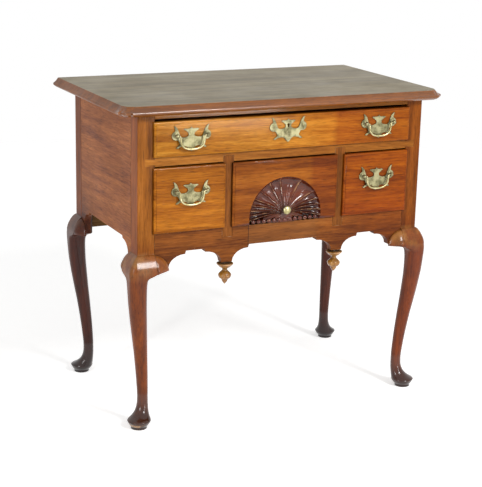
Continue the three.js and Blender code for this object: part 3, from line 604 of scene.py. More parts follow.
# Dirt and painted shade in corners and hollows: rays that look for them, how closed a corner is where they
# are darkest and where they end, their reach on wood and on metal, and how dark they get on metal.
DIRT_AND_SHADE_SAMPLES = 6
DIRT_AND_SHADE_SHARES = (0.35, 0.95)
WOOD_DIRT_AND_SHADE_REACH = 0.02
METAL_DIRT_AND_SHADE_REACH = 0.006
METAL_DIRT_AND_SHADE_SHARE = 0.3

# Grain: turns that lay it along an axis, how far it is drawn out and how much it sways.
GRAIN_TURNS = {
    "x": (0.01, 0.02, 0.015),
    "y": (0.02, 0.03, QUARTER + 0.05),
    "z": (0.015, QUARTER + 0.01, 0.01),
}
GRAIN_STRETCH = (16, 1, 1)
SWAY_SCALE = 9
SWAY_DETAIL = 2
SWAY_SHARE = 0.02

# Noises of the wood, each a scale, a detail and a roughness. Those of the figure add up by their shares
# to the tones, the others are spread between two of their values.
FIGURE_NOISES = ((15, 2, 0.5), (60, 3, 0.5), (260, 3, 0.6), (1200, 2, 0.6))
FIGURE_SHARES = (0.3, 0.28, 0.28, 0.14)
TONE_SHARES = (0.4, 0.5, 0.6)
PORE_NOISE = (620, 1, 0.5)
PORE_SHARES = (0.56, 0.7, 0, 0.6)
PORE_SHADE_SHARE = 0.35
PATINA_NOISE = (7, 3, 0.6)
PATINA_SHARES = (0.3, 0.7)
PATINA_SHADE_SHARES = (0.86, 1.12)
PATINA_DULLING = 0.08
PATINA_POLISH = 0.03
# Patchiness of the pale edges, ridges and rims: wear and painted highlight.
WEAR_AND_HIGHLIGHT_NOISE = (70, 3, 0.6)
WEAR_AND_HIGHLIGHT_SHARES = (0.46, 0.64)
GLEAM_POLISH = 0.2
GRIT_SHARE = 0.5
GRIT_STRENGTH = 0.06
RELIEF_DEPTH = 0.0004

# Stains and wear, with painted sheen on the knees and painted shade on the rear legs and the right drawer.
# A span is where one begins and ends along an axis, and a waver is how far its end strays and the noise
# that leads it astray.
LEG_WAVER = (0.01, 45, 3, 0.5)
LEG_STAIN_SPAN = (0.4, 0.47)
# Where the knees are painted pale, as wear and as painted sheen, and how patchy it is.
KNEE_WEAR_AND_SHEEN_FOOT_SPAN = (0.372, 0.41)
KNEE_WEAR_AND_SHEEN_TOP_SPAN = (0.426, 0.44)
KNEE_WEAR_AND_SHEEN_NOISE = (34, 3, 0.5)
KNEE_WEAR_AND_SHEEN_SHARES = (0.42, 0.62, 0.15, 0.7)
KNEE_WEAR_AND_SHEEN_SIDE_SPAN = (-0.1, 0.1)
KNEE_WEAR_AND_SHEEN_LEFT_SHARE = 0.6
FLANK_EDGE = 0.0008
FOOT_STAIN_SPAN = (0.03, 0.11)
FOOT_STAIN_SHARE = 0.8
FRONT_LEG_FADE_SPAN = (-0.3, 0.3)
PAD_WAVER = (0.004, 45, 3, 0.5)
PAD_WEAR_FOOT_SPAN = (0.0085, 0.0095)
PAD_WEAR_TOP_SPAN = (0.0145, 0.017)
PAD_WEAR_NOISE = (26, 2, 0.5)
PAD_WEAR_SHARES = (0.46, 0.52)
# Painted shade on the rear legs: full below the case, less on the posts.
REAR_SHADE_SPAN = (0.425, 0.44)
REAR_SHADE_SHARE = 0.45
BOARD_WAVER = (0.01, 30, 2, 0.5)
UPPER_FADE_SPAN = (-0.08, 0.13)
UPPER_SEAM_SPAN = (0.128, 0.142)
RIGHT_SHADE_SPAN = (0.5, 0.58)
FAN_SEAM_SPAN = (0.066, 0.08)
LOW_REAR_DEPTH_SPAN = (0.02, 0.17)
LOW_REAR_HEIGHT_SPAN = (0.43, 0.56)
PATCH_JOINT = -0.0932
PATCH_LEFT_SPAN = (-0.0935, -0.0925)
PATCH_RIGHT_SPAN = (0.08, 0.1)
PATCH_SHARE = 0.35
APRON_FADE_SPAN = (0.1, 0.24)
JOINT_SPAN = (0.0004, 0.0012)
JOINT_SHARE = 0.85

# Varnishes: roughness and reflection of the wood, strength of the coat over it, also where a piece is
# marked to gleam, roughness of the coat, and how dark the dirt and painted shade in corners get.
VARNISH = {"gloss": 0.42, "shine": 0.07, "coat": 0.12, "gleam": None, "film": 0.1, "dirt_and_shade": 0.45}
TOP_VARNISH = {**VARNISH, "gloss": 0.4, "shine": 0.34, "coat": 0, "gleam": 0.65, "film": 0.04}
SIDE_VARNISH = {**VARNISH, "coat": 0.1}
LEG_VARNISH = {**VARNISH, "gleam": 0.9, "film": 0.17}
FAN_VARNISH = {**VARNISH, "gleam": 0.8, "dirt_and_shade": 0.08}
FINIAL_VARNISH = {**VARNISH, "gloss": 0.3, "coat": 1, "film": 0.06, "dirt_and_shade": 0.1}
BARE = {**VARNISH, "gloss": 0.7, "coat": 0}

# Woods: tones, direction of the grain, a place of the heart that it runs round, and varnish.
WOODS = {
    "top_walnut": (TOP_SHEEN_GREY, "x", (0, -0.1, 0.6), TOP_VARNISH),
    "side_walnut": (RED_BROWN, "y", (0.1, 0, 0.55), SIDE_VARNISH),
    "leg_walnut": (POST_BROWN, "z", (0.3, -0.1, 0), LEG_VARNISH),
    "rear_leg_walnut": (POST_BROWN, "z", (-0.3, 0.1, 0), LEG_VARNISH),
    "rail_walnut": (RAIL_BROWN, "x", (0.1, -0.28, 0.5), VARNISH),
    "apron_walnut": (APRON_BROWN, "x", (0.22, -0.28, 0.46), VARNISH),
    "stile_walnut": (STILE_BROWN, "z", (0, -0.3, 0), VARNISH),
    "upper_drawer_walnut": (GOLDEN, "x", (0.1, -0.12, 0.62), VARNISH),
    "left_drawer_walnut": (HONEY, "x", (-0.3, -0.14, 0.5), VARNISH),
    "right_drawer_walnut": (AMBER, "x", (0.35, -0.15, 0.64), VARNISH),
    "fan_walnut": (BROWN, "x", (0, -0.13, 0.65), FAN_VARNISH),
    "finial_walnut": (FINIAL_GOLD, "z", (0.2, -0.2, 0), FINIAL_VARNISH),
    "pine": (PINE, "y", (0.05, 0, 0.3), BARE),
    "cross_pine": (PINE, "x", (0, 0.3, 0.3), BARE),
}

# Metals: tarnished tone, clean tone and roughness, then the noises of the tarnish and of the casting.
METALS = {
    "plate_brass": (tone(100, 95, 68), tone(154, 148, 112), 0.36),
    "bail_brass": (tone(156, 146, 100), tone(204, 196, 152), 0.26),
    "iron": (tone(60, 54, 48), tone(92, 90, 86), 0.5),
}
TARNISH_NOISE = (60, 4, 0.65)
TARNISH_TONE_SHARES = (0.36, 0.58)
TARNISH_SHARES = (0.35, 0.65)
TARNISH_DULLING = 0.14
CASTING_NOISE = (900, 2, 0.5)
CASTING_SHARES = (0.6, 0.4)
CASTING_STRENGTH = 0.1


def wood(name, tint=None):
    """Wood whose grain runs along an axis, round a heart that lies off the board.

    Where a piece is marked to gleam, its varnish is smoother and thicker.
    """
    tones, grain, heart, varnish = WOODS[name]
    made = Finish(name)
    grained = made.node(
        "ShaderNodeMapping",
        {"Vector": made.place, "Location": heart, "Rotation": GRAIN_TURNS[grain], "Scale": GRAIN_STRETCH},
        vector_type="TEXTURE",
    )
    sway_inputs = {"Vector": grained, "Scale": SWAY_SCALE, "Detail": SWAY_DETAIL}
    sway = made.node("ShaderNodeTexNoise", sway_inputs, output="Color")
    mix_inputs = {MIX_FACTOR: SWAY_SHARE, MIX_VECTORS[0]: grained, MIX_VECTORS[1]: sway}
    swayed = made.node("ShaderNodeMix", mix_inputs, output=1, data_type="VECTOR")
    layers = [made.noise(*noise, vector=swayed) for noise in FIGURE_NOISES]
    colour = made.ramp(made.sum_of(*zip(layers, FIGURE_SHARES)), TONE_SHARES, tones)
    if tint:
        colour = tint(made, colour)
    pores = made.spread(made.noise(*PORE_NOISE, vector=swayed), *PORE_SHARES)
    colour = made.blend(pores, colour, made.shaded(colour, PORE_SHADE_SHARE))
    patina = made.noise(*PATINA_NOISE)
    colour = made.shaded(colour, made.spread(patina, *PATINA_SHARES, *PATINA_SHADE_SHARES))
    # Edges, ridges and rims are painted pale: partly wear, partly a painted highlight.
    patchy = made.spread(made.noise(*WEAR_AND_HIGHLIGHT_NOISE), *WEAR_AND_HIGHLIGHT_SHARES)
    colour = made.blend(made.product(made.marked("worn"), patchy), colour, WEAR_AND_HIGHLIGHT_TONE)
    # Dirt and painted shade darken the wood's corners and hollows.
    colour = made.shaded(colour, made.dirt_and_shade(WOOD_DIRT_AND_SHADE_REACH, varnish["dirt_and_shade"]))
    gloss, coat = varnish["gloss"], varnish["coat"]
    roughness = made.spread(patina, *PATINA_SHARES, gloss + PATINA_DULLING, gloss - PATINA_POLISH)
    if varnish["gleam"]:
        gleam = made.marked("gleam")
        roughness = made.sum_of((roughness, 1), (gleam, -GLEAM_POLISH))
        coat = made.spread(gleam, 0, 1, coat, varnish["gleam"])
    grit = made.sum_of((layers[-1], GRIT_SHARE), (layers[-2], GRIT_SHARE))
    inputs = {
        "Base Color": colour,
        "Roughness": roughness,
        "Specular IOR Level": varnish["shine"],
        "Coat Weight": coat,
        "Coat Roughness": varnish["film"],
        "Normal": made.bump(grit, GRIT_STRENGTH),
    }
    return made.finish(inputs)


def darkened(made, colour, start, end):
    """Deepens a board's colour from one place along X to another."""
    across = made.wavy(made.along("X"), *BOARD_WAVER)
    return made.stained(made.spread(across, start, end), colour, SOFT_CAST)


def leg_tint(made, colour):
    """Legs turn from the post's golden brown, over knees painted pale as wear and as painted sheen, to a
    nearly black foot.
    """
    height, across = made.along("Z"), made.along("X")
    wavy = made.wavy(height, *LEG_WAVER)
    colour = made.stained(made.spread(height, *LEG_STAIN_SPAN, 1, 0), colour, LEG_CAST)
    # Knees painted pale: partly wear, partly painted sheen, less on the left leg.
    rubbed_and_sheen = made.product(
        made.spread(wavy, *KNEE_WEAR_AND_SHEEN_FOOT_SPAN),
        made.spread(wavy, *KNEE_WEAR_AND_SHEEN_TOP_SPAN, 1, 0),
    )
    rubbed_and_sheen = made.product(rubbed_and_sheen, made.spread(across, *KNEE_WEAR_AND_SHEEN_SIDE_SPAN, KNEE_WEAR_AND_SHEEN_LEFT_SHARE, 1))
    patchy = made.spread(made.noise(*KNEE_WEAR_AND_SHEEN_NOISE), *KNEE_WEAR_AND_SHEEN_SHARES)
    colour = made.blend(made.product(rubbed_and_sheen, patchy), colour, KNEE_WEAR_AND_SHEEN_TONE)
    flank = made.product(
        made.spread(made.math("ABSOLUTE", across), CASE_SIDE - FLANK_EDGE, CASE_SIDE - GLUE_GAP),
        made.spread(height, KNEE_HEIGHT, KNEE_HEIGHT + GLUE_GAP),
    )
    colour = made.stained(flank, colour, FLANK_CAST)
    return made.blend(made.spread(height, *FOOT_STAIN_SPAN, FOOT_STAIN_SHARE, 0), colour, FOOT_TONE)


def front_leg_tint(made, colour):
    """The front feet have a pale band of wear below the pad's rim, and the right leg is a little darker.
    """
    colour = darkened(made, leg_tint(made, colour), *FRONT_LEG_FADE_SPAN)
    wavy = made.wavy(made.along("Z"), *PAD_WAVER)
    band = made.product(
        made.spread(wavy, *PAD_WEAR_FOOT_SPAN),
        made.spread(wavy, *PAD_WEAR_TOP_SPAN, 1, 0),
    )
    patchy = made.spread(made.noise(*PAD_WEAR_NOISE), *PAD_WEAR_SHARES)
    return made.blend(made.product(band, patchy), colour, WEAR_AND_HIGHLIGHT_TONE)


def rear_leg_tint(made, colour):
    """The rear legs are darker than the front ones, most of all below the case, as painted shade."""
    # Painted shade: darker below the case than on the posts.
    depth = made.spread(made.along("Z"), *REAR_SHADE_SPAN, 1, REAR_SHADE_SHARE)
    return made.stained(depth, leg_tint(made, colour), REAR_SHADE_CAST)


def upper_tint(made, colour):
    """The upper drawer darkens to the right, where the figure of another board begins."""
    return darkened(made, darkened(made, colour, *UPPER_FADE_SPAN), *UPPER_SEAM_SPAN)


def right_tint(made, colour):
    """The right drawer darkens toward its lower edge, as painted shade."""
    return made.stained(made.spread(made.along("Z"), *RIGHT_SHADE_SPAN, 1, 0), colour, SOFT_CAST)


def fan_tint(made, colour):
    """The carved hollow is darker than the face around it, partly by stain and partly as painted shade,
    and the face's right end is darker too.
    """
    return made.stained(made.marked("gleam"), darkened(made, colour, *FAN_SEAM_SPAN), FAN_STAIN_AND_SHADE_CAST)


def top_tint(made, colour):
    """The board's moulding is cast to brown, where the top keeps a greyer colour as painted sheen."""
    return made.stained(made.marked("moulded"), colour, EDGE_CAST)


def side_tint(made, colour):
    """The sides are darker low down beside the rear legs."""
    rear = made.spread(made.along("Y"), *LOW_REAR_DEPTH_SPAN)
    low = made.spread(made.along("Z"), *LOW_REAR_HEIGHT_SPAN, 1, 0)
    return made.stained(made.product(rear, low), colour, LOW_REAR_CAST)


def apron_tint(made, colour):
    """A middle piece let into the apron, with a dark joint at its left, and a darker right end."""
    across = made.along("X")
    piece = made.product(
        made.spread(across, *PATCH_LEFT_SPAN),
        made.spread(across, *PATCH_RIGHT_SPAN, 1, 0),
    )
    colour = made.blend(made.product(piece, PATCH_SHARE), colour, PATCH_TONE)
    colour = darkened(made, colour, *APRON_FADE_SPAN)
    from_joint = made.math("ABSOLUTE", made.math("SUBTRACT", across, PATCH_JOINT))
    return made.blend(made.spread(from_joint, *JOINT_SPAN, JOINT_SHARE, 0), colour, JOINT_TONE)


def metal(name):
    """Cast and filed metal, dulled unevenly by age, with dirt and painted shade where it meets the wood.
    """
    *tones, gloss = METALS[name]
    made = Finish(name)
    tarnish, casting = made.noise(*TARNISH_NOISE), made.noise(*CASTING_NOISE)
    colour = made.ramp(tarnish, TARNISH_TONE_SHARES, tones)
    # Dirt and painted shade darken the metal where it meets the wood.
    inputs = {
        "Base Color": made.shaded(colour, made.dirt_and_shade(METAL_DIRT_AND_SHADE_REACH, METAL_DIRT_AND_SHADE_SHARE)),
        "Metallic": 1,
        "Roughness": made.spread(tarnish, *TARNISH_SHARES, gloss + TARNISH_DULLING, gloss),
        "Normal": made.bump(made.sum_of(*zip((tarnish, casting), CASTING_SHARES)), CASTING_STRENGTH),
    }
    return made.finish(inputs)


plate_brass = metal("plate_brass")
bail_brass = metal("bail_brass")
leg_walnut = wood("leg_walnut", front_leg_tint)
rear_walnut = wood("rear_leg_walnut", rear_leg_tint)
pine = wood("pine")
cross_pine = wood("cross_pine")

finish_for("top_wood", wood("top_walnut", top_tint), BOARD_EASE, "top_board")
finish_for("case_wood", wood("side_walnut", side_tint), BOARD_EASE, *both("side_panel"))
finish_for("case_wood", wood("rail_walnut"), BOX_EASE, "top_rail", "drawer_divider")
finish_for("case_wood", wood("apron_walnut", apron_tint), BOX_EASE, "apron_front")
finish_for("case_wood", wood("stile_walnut"), BOX_EASE, *both("stile"))
finish_for("leg_wood", leg_walnut, BOX_EASE, *both("leg_front"))
finish_for("leg_wood", leg_walnut, BOX_EASE, *both("knee_block_front"), *both("knee_block_side_front"))
finish_for("leg_wood", rear_walnut, BOX_EASE, *both("leg_rear"), *both("knee_block_side_rear"))
finish_for("front_wood", wood("finial_walnut"), BOX_EASE, *both("drop_finial"))
finish_for("front_wood", wood("upper_drawer_walnut", upper_tint), FRONT_EASE, "upper_drawer_front")
finish_for("front_wood", wood("fan_walnut", fan_tint), FRONT_EASE, "fan_drawer_front")
finish_for("front_wood", wood("left_drawer_walnut"), FRONT_EASE, "left_drawer_front")
finish_for("front_wood", wood("right_drawer_walnut", right_tint), FRONT_EASE, "right_drawer_front")
finish_for("secondary_wood", cross_pine, BOX_EASE, "back_panel")
for place in ("upper", "lower", "medial"):
    finish_for("secondary_wood", pine, BOX_EASE, *both(f"runner_{place}"))
for drawer in ("upper", "fan", "left", "right"):
    finish_for("secondary_wood", pine, BOX_EASE, *both(f"{drawer}_drawer_side"))
    finish_for("secondary_wood", cross_pine, BOX_EASE, f"{drawer}_drawer_back", f"{drawer}_drawer_bottom")
finish_for("brass", plate_brass, METAL_EASE, *PULLS, "escutcheon")
finish_for("brass", bail_brass, METAL_EASE, *[bail_of(pull) for pull in PULLS], "fan_drawer_knob")
finish_for("iron", metal("iron"), METAL_EASE, "lock_body", "lock_bolt")


def make_board():
    """The top board, moulded round its front and sides, with notched front corners."""
    half = BOARD_HIGH.x
    notch_x = half - NOTCH
    notch_y = BOARD_LOW.y + NOTCH
    thickness = BOARD_HIGH.z - BOARD_LOW.z
    steps = finer(MOULD_SHARES, MOULD_STEPS)
    rows = [(inset * MOULD_WIDTH, BOARD_LOW.z + height * thickness) for height, inset in steps]
    arris = len(rows) - 1
    rows.append((MOULD_WIDTH + ARRIS_WIDTH, BOARD_HIGH.z))
    rings = []
    for inset, z in rows:
        round_part = arc(notch_x, notch_y, NOTCH - NOTCH_FILLET - inset, 0, -QUARTER, NOTCH_STEPS)
        corner = [(half - inset, notch_y + inset), *round_part, (notch_x - inset, BOARD_LOW.y + inset)]
        side = [(half - inset, BOARD_HIGH.y), (half - inset, notch_y + NOTCH), *corner]
        rings.append([(x, y, z) for x, y in [*side, *[(-x, y) for x, y in reversed(side)]]])
    # The arris is painted pale, as wear and as a painted highlight.
    board = lofted("board_moulded", rings, worn=(arris,), moulded=range(arris))
    low_y, high_z = notch_y + MOULD_WIDTH + SEAT, BOARD_HIGH.z - SEAT
    return mark(board, "gleam", lambda point: 1 if point.y < low_y and point.z < high_z else 0)


def leg_section(outer, inner, outer_round, other_round, height):
    """A rounded square across a leg, in directions that both point away from the case."""
    half = (outer + inner) / 2
    points = []
    for corner, (u, v) in enumerate(((1, 1), (-1, 1), (-1, -1), (1, -1))):
        radius = max(POST_ARRIS, half * (outer_round if corner == 0 else other_round))
        centre_u = outer - radius if u > 0 else radius - inner
        centre_v = outer - radius if v > 0 else radius - inner
        first = corner * QUARTER
        points += arc(centre_u, centre_v, radius, first, first + QUARTER, CORNER_STEPS)
    return [(x, y, height) for x, y in points]


def make_leg(name, hand, end):
    sections = [
        leg_section(outer * KNEE_REACH, inner * POST, outer_round, other_round, height * KNEE_HEIGHT)
        for height, outer, inner, outer_round, other_round in finer(LEG_STATION_SHARES, LEG_STEPS)
    ]
    for rise, outer in finer(KNEE_ROLL_SHARES[1:], LEG_STEPS):
        height = KNEE_WIDEST + rise * KNEE_RISE
        sections.append(leg_section(outer * KNEE_REACH, POST, outer * KNEE_CORNER_SHARE, 0, height))
    sections.append(leg_section(0, POST, 0, 0, CASE_TOP))
    corner_y = CASE_FRONT if end < 0 else CASE_BACK

    def thinned(x, z):
        return max(x, -REAR_POST_WIDTH) if end > 0 and z > KNEE_WIDEST - KNEE_RISE else x

    rings = [
        [(hand * (CASE_SIDE + thinned(x, z)), corner_y + end * y, z) for x, y, z in section]
        for section in sections
    ]
    return lofted(name, rings)


def below_post(point):
    """1 on the foot, less on the leg and its knee blocks and 0 on the post."""
    if point.z > KNEE_HEIGHT - GLUE_GAP:
        return 0
    return LEG_GLEAM_SHARE if point.z > ANKLE_HEIGHT else 1


def make_block(name, to_world):
    """A bracket beside a knee, drawn as the run from the corner, the reach and the height."""
    start = POST - BLOCK_TUCK
    foot = KNEE_HEIGHT - BLOCK_DROP
    first = math.asin((POST + SEAT - start) / BLOCK_RUN)
    last = QUARTER * BLOCK_LAST_TURN_SHARE
    rings = []
    for i in range(BLOCK_RINGS):
        share = i / (BLOCK_RINGS - 1)
        turn = first + (last - first) * share
        run = start + BLOCK_RUN * math.sin(turn)
        top = foot + (BLOCK_DROP - BLOCK_TOP_DIP) * math.cos(turn)
        heel = max(0, 1 - (run - POST) / BLOCK_HEEL_RUN)
        bottom = foot - BLOCK_HEEL_DROP * heel * heel
        fade = (1 + math.cos(math.pi * share)) / 2
        reach = BLOCK_TIP_REACH + (KNEE_REACH - BLOCK_TIP_REACH) * fade
        rolls = [(0, BLOCK_FOOT_SHARE), *KNEE_ROLL_SHARES[1:]]
        rows = [
            (BLOCK_EDGE + (reach - BLOCK_EDGE) * roll, bottom + (top - bottom) * height)
            for height, roll in finer(rolls, LEG_STEPS)
        ]
        rings.append([to_world(run, proud, z) for proud, z in ((SEAT, bottom), *rows, (SEAT, top))])
    return lofted(name, rings)


def make_finial(node):
    """A turned drop under a flat saucer, with its dowel."""
    low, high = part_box(node)
    middle = (low + high) / 2
    shoulder = APRON_BOTTOM - SEAT
    dowel_top = APRON_BOTTOM + FINIAL_DOWEL_LENGTH
    dowel = [(0, dowel_top), (FINIAL_DOWEL_RADIUS, dowel_top), (FINIAL_DOWEL_RADIUS, shoulder)]
    rows = finer(FINIAL_SHARES, TURNED_STEPS)
    bulb = [(radius * FINIAL_RADIUS, shoulder - drop * FINIAL_LENGTH) for drop, radius in rows]
    # The saucer's rim is painted pale, as wear and as a painted highlight.
    rim = [len(dowel) + i for i, (drop, _) in enumerate(rows) if drop < FINIAL_RIM_SHARE]

    def upright(u, v, z):
        return middle.x + u, middle.y + v, z

    return turned(f"{node}_turned", dowel + bulb, upright, worn=rim)


def fan_bend(bearing, inset):
    """How far a ridge leans toward upright, more near the hub."""
    return FAN_BEND_SHARE * inset * inset * math.sin(bearing * QUARTER)


def fan_hollow():
    """A dish of flutes round a hub, parted by thin ridges that bend as they leave the hub."""
    bearings = []
    for start, end in zip(FAN_RIDGE_SHARES, [*FAN_RIDGE_SHARES[1:], FAN_RIDGE_SHARES[0] + QUARTERS]):
        cuts = max(1, round((end - start) / FAN_TOOL_SHARE))
        low, high = start + FAN_RIDGE_TOP_SHARE / 2, end - FAN_RIDGE_TOP_SHARE / 2
        for step in range(FAN_FLUTE_STEPS + 1):
            share = step / FAN_FLUTE_STEPS
            hollow = math.sqrt(max(0, math.sin(math.pi * share)))
            ripple = (1 + math.cos(math.tau * cuts * share)) / 2
            bearings.append((low + (high - low) * share, hollow, ripple))
    hub_z = APRON_TOP + FAN_HUB_LIFT
    profile = [(1 - radius, ridge, flute) for radius, ridge, flute in FAN_PROFILE_SHARES]
    rings = []
    for inset, ridge, flute in finer(profile, FAN_RING_STEPS):
        radius = (1 - inset) * FAN_RADIUS
        ring = []
        for bearing, hollow, ripple in bearings:
            turn = (bearing - fan_bend(bearing, inset)) * QUARTER
            cut = hollow * (1 - FAN_TOOL_DEPTH_SHARE * inset * ripple)
            depth = ridge * FAN_DEPTH + cut * flute * FAN_FLUTE_DEPTH
            ring.append((radius * math.sin(turn), DRAWER_FACE + depth, hub_z + radius * math.cos(turn)))
        rings.append(ring)
    rim = [(x, DRAWER_FACE - OVERRUN, z) for x, _, z in rings[0]]
    return lofted("fan_hollow", [rim, *rings])


def make_lobe(x):
    """One of the small lobes in which the fan ends at the drawer's lower edge."""
    sink = LOBE_SINK + LOBE_SINK_SHARE * abs(x)
    centre = Vector((x, DRAWER_FACE + sink, APRON_TOP + LIP_LIFT + LOBE_LIFT))
    form = bmesh.new()
    bmesh.ops.create_uvsphere(form, u_segments=LOBE_SIDES, v_segments=LOBE_RINGS, radius=1)
    bmesh.ops.scale(form, vec=(LOBE_WIDTH, sink - LOBE_COVER, LOBE_HEIGHT), verts=form.verts)
    bmesh.ops.translate(form, vec=centre, verts=form.verts)
    return piece_from("lobe", form)


def carved(point):
    """1 in the fan's hollow and 0 elsewhere on its drawer front."""
    reach = math.hypot(point.x, point.z - APRON_TOP - FAN_HUB_LIFT)
    return 1 if reach < FAN_RADIUS + WELD and WELD < point.y - DRAWER_FACE < 2 * FAN_DEPTH else 0


def on_ridge(point):
    """Marks the tops of the fan's ridges, which are painted pale as wear and as a painted highlight."""
    rise = point.z - APRON_TOP - FAN_HUB_LIFT
    inset = 1 - math.hypot(point.x, rise) / FAN_RADIUS
    turn = math.atan2(point.x, rise) / QUARTER
    bearing = turn
    for _ in range(FAN_UNBEND_STEPS):
        bearing = turn + fan_bend(bearing, inset)
    nearest = min(abs(bearing - share) for share in FAN_RIDGE_SHARES)
    return carved(point) * FAN_RIDGE_WEAR_AND_HIGHLIGHT_SHARE if nearest < FAN_RIDGE_TOP_SHARE else 0


def make_fan_front():
    low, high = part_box("fan_drawer_front")
    lip_back = low.y + LIP_THICKNESS
    rims = [(0, 0)]
    for i in range(LIP_STEPS + 1):
        turn = QUARTER * i / LIP_STEPS
        depth = LIP_THICKNESS - LIP_ROUND_DEPTH + (LIP_ROUND_DEPTH - LIP_QUIRK) * math.sin(turn)
        rims.append((LIP_ROUND * (1 - math.cos(turn)), depth))
    rims.append((LIP_ROUND, LIP_THICKNESS))
    rings = []
    for inset, depth in rims:
        left, right = low.x + inset, high.x - inset
        foot, top = APRON_TOP + LIP_LIFT + inset, high.z - inset
        corners = ((left, foot), (right, foot), (right, top), (left, top))
        rings.append([(x, lip_back - depth, z) for x, z in corners])
    front = lofted("fan_front", rings)
    body_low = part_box("fan_drawer_side_left")[0]
    body_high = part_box("fan_drawer_side_right")[1]
    body = block(
        "fan_body",
        Vector((body_low.x, lip_back - LIP_QUIRK, body_low.z)),
        Vector((body_high.x, high.y, high.z)),
    )
    combine(front, "UNION", body)
    combine(front, "DIFFERENCE", fan_hollow())
    places = [LOBE_PITCH * (i - (LOBE_COUNT - 1) / 2) for i in range(LOBE_COUNT)]
    combine(front, "UNION", *[make_lobe(x) for x in places])
    let_in = ("side_left", "side_right", "bottom", "knob")
    combine(front, "DIFFERENCE", *[fattened(f"fan_drawer_{part}", GLUE_GAP) for part in let_in])
    mark(front, "gleam", carved)
    return mark(front, "worn", on_ridge)


def ball_profile(radius, depth, neck, middle):
    """The rounded end of a post or knob, from its neck to the tip of its axis."""
    first = -math.acos(neck / radius)
    turns = [first + (QUARTER - first) * i / BALL_STEPS for i in range(BALL_STEPS + 1)]
    return [(max(0, radius * math.cos(turn)), middle - depth * math.sin(turn)) for turn in turns]


def make_knob(node):
    low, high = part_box(node)
    middle = (low + high) / 2
    nut_face = DRAWER_FRONT_BACK + SEAT
    profile = [
        (0, nut_face + NUT_THICKNESS),
        (NUT_RADIUS, nut_face + NUT_THICKNESS),
        (NUT_RADIUS, nut_face),
        (SHANK_RADIUS, nut_face),
        (SHANK_RADIUS, DRAWER_FACE),
        *ball_profile(KNOB_RADIUS, KNOB_DEPTH, KNOB_STEM_RADIUS, DRAWER_FACE - KNOB_REACH),
    ]
    return turned(f"{node}_turned", profile, lambda u, v, y: (middle.x + u, y, middle.z + v))


def pull_axis(node):
    """Where the middle of a pull's posts is, from the bail that hangs in them."""
    low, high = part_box(bail_of(node))
    return Vector(((low.x + high.x) / 2, DRAWER_FACE - PULL_REACH, high.z - BAIL_PIN_RADIUS))


def make_pull(node):
    """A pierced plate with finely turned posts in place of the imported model's coarse ones."""
    axis = pull_axis(node)
    low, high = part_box(node)
    pull = piece_from(f"{node}_plate", form_of(frame["nodes"][node].data))
    margin = Vector((OVERRUN, OVERRUN, OVERRUN))
    front = Vector((high.x, PLATE_FRONT, high.z)) + Vector((OVERRUN, 0, OVERRUN))
    combine(pull, "DIFFERENCE", block("posts_cutter", low - margin, front))
    collar = [
        (radius * NUT_RADIUS, PLATE_FRONT - along * POST_COLLAR)
        for along, radius in finer(POST_COLLAR_SHARES, TURNED_STEPS)
    ]
    profile = [
        (0, PLATE_FRONT + PLATE_THICKNESS / 2),
        (NUT_RADIUS, PLATE_FRONT + PLATE_THICKNESS / 2),
        *collar,
        *ball_profile(PULL_BALL_RADIUS, PULL_BALL_RADIUS, PULL_BALL_RADIUS / 2, axis.y),
    ]
    for side, hand in HANDS.items():
        post_x = axis.x + hand * PULL_SPACING / 2
        post = turned(f"post_{side}", profile, lambda u, v, y: (post_x + u, y, axis.z + v))
        hole_radius = BAIL_PIN_RADIUS + BAIL_PIN_GAP
        hole = turned(
            f"hole_{side}",
            [(hole_radius, post_x), (hole_radius, post_x - hand * (PULL_BALL_RADIUS + OVERRUN))],
            lambda u, v, x: (x, axis.y + u, axis.z + v),
        )
        combine(pull, "UNION", post)
        combine(pull, "DIFFERENCE", hole)
    made = eased(f"{node}_made", pull.data, METAL_EASE)
    bpy.data.objects.remove(pull)
    return made


def make_bail(node):
    axis = pull_axis(node)
    half = PULL_SPACING / 2
    bend = [(u * half, -v * BAIL_DROP) for u, v in BAIL_PATH_SHARES]
    arm = [(half - BAIL_PIN_GAP, 0), *bend, (0, -BAIL_DROP)]
    whole = [*arm, *[(-u, v) for u, v in reversed(arm[:-1])]]
    path = finer([(i, u, v) for i, (u, v) in enumerate(whole)], BAIL_STEPS)
    rings = []
    for i, (_, u, v) in enumerate(path):
        before, after = path[max(i - 1, 0)], path[min(i + 1, len(path) - 1)]
        along = Vector((after[1] - before[1], after[2] - before[2])).normalized()
        share = i / (len(path) - 1)
        radius = BAIL_PIN_RADIUS + (BAIL_RADIUS - BAIL_PIN_RADIUS) * math.sin(math.pi * share)
        section = arc(0, 0, radius, 0, math.tau, BAIL_SIDES)[1:]
        rings.append(
            [
                (axis.x + u - along.y * across, axis.y + out, axis.z + v + along.x * across)
                for across, out in section
            ]
        )
    return lofted(f"{node}_bent", rings)


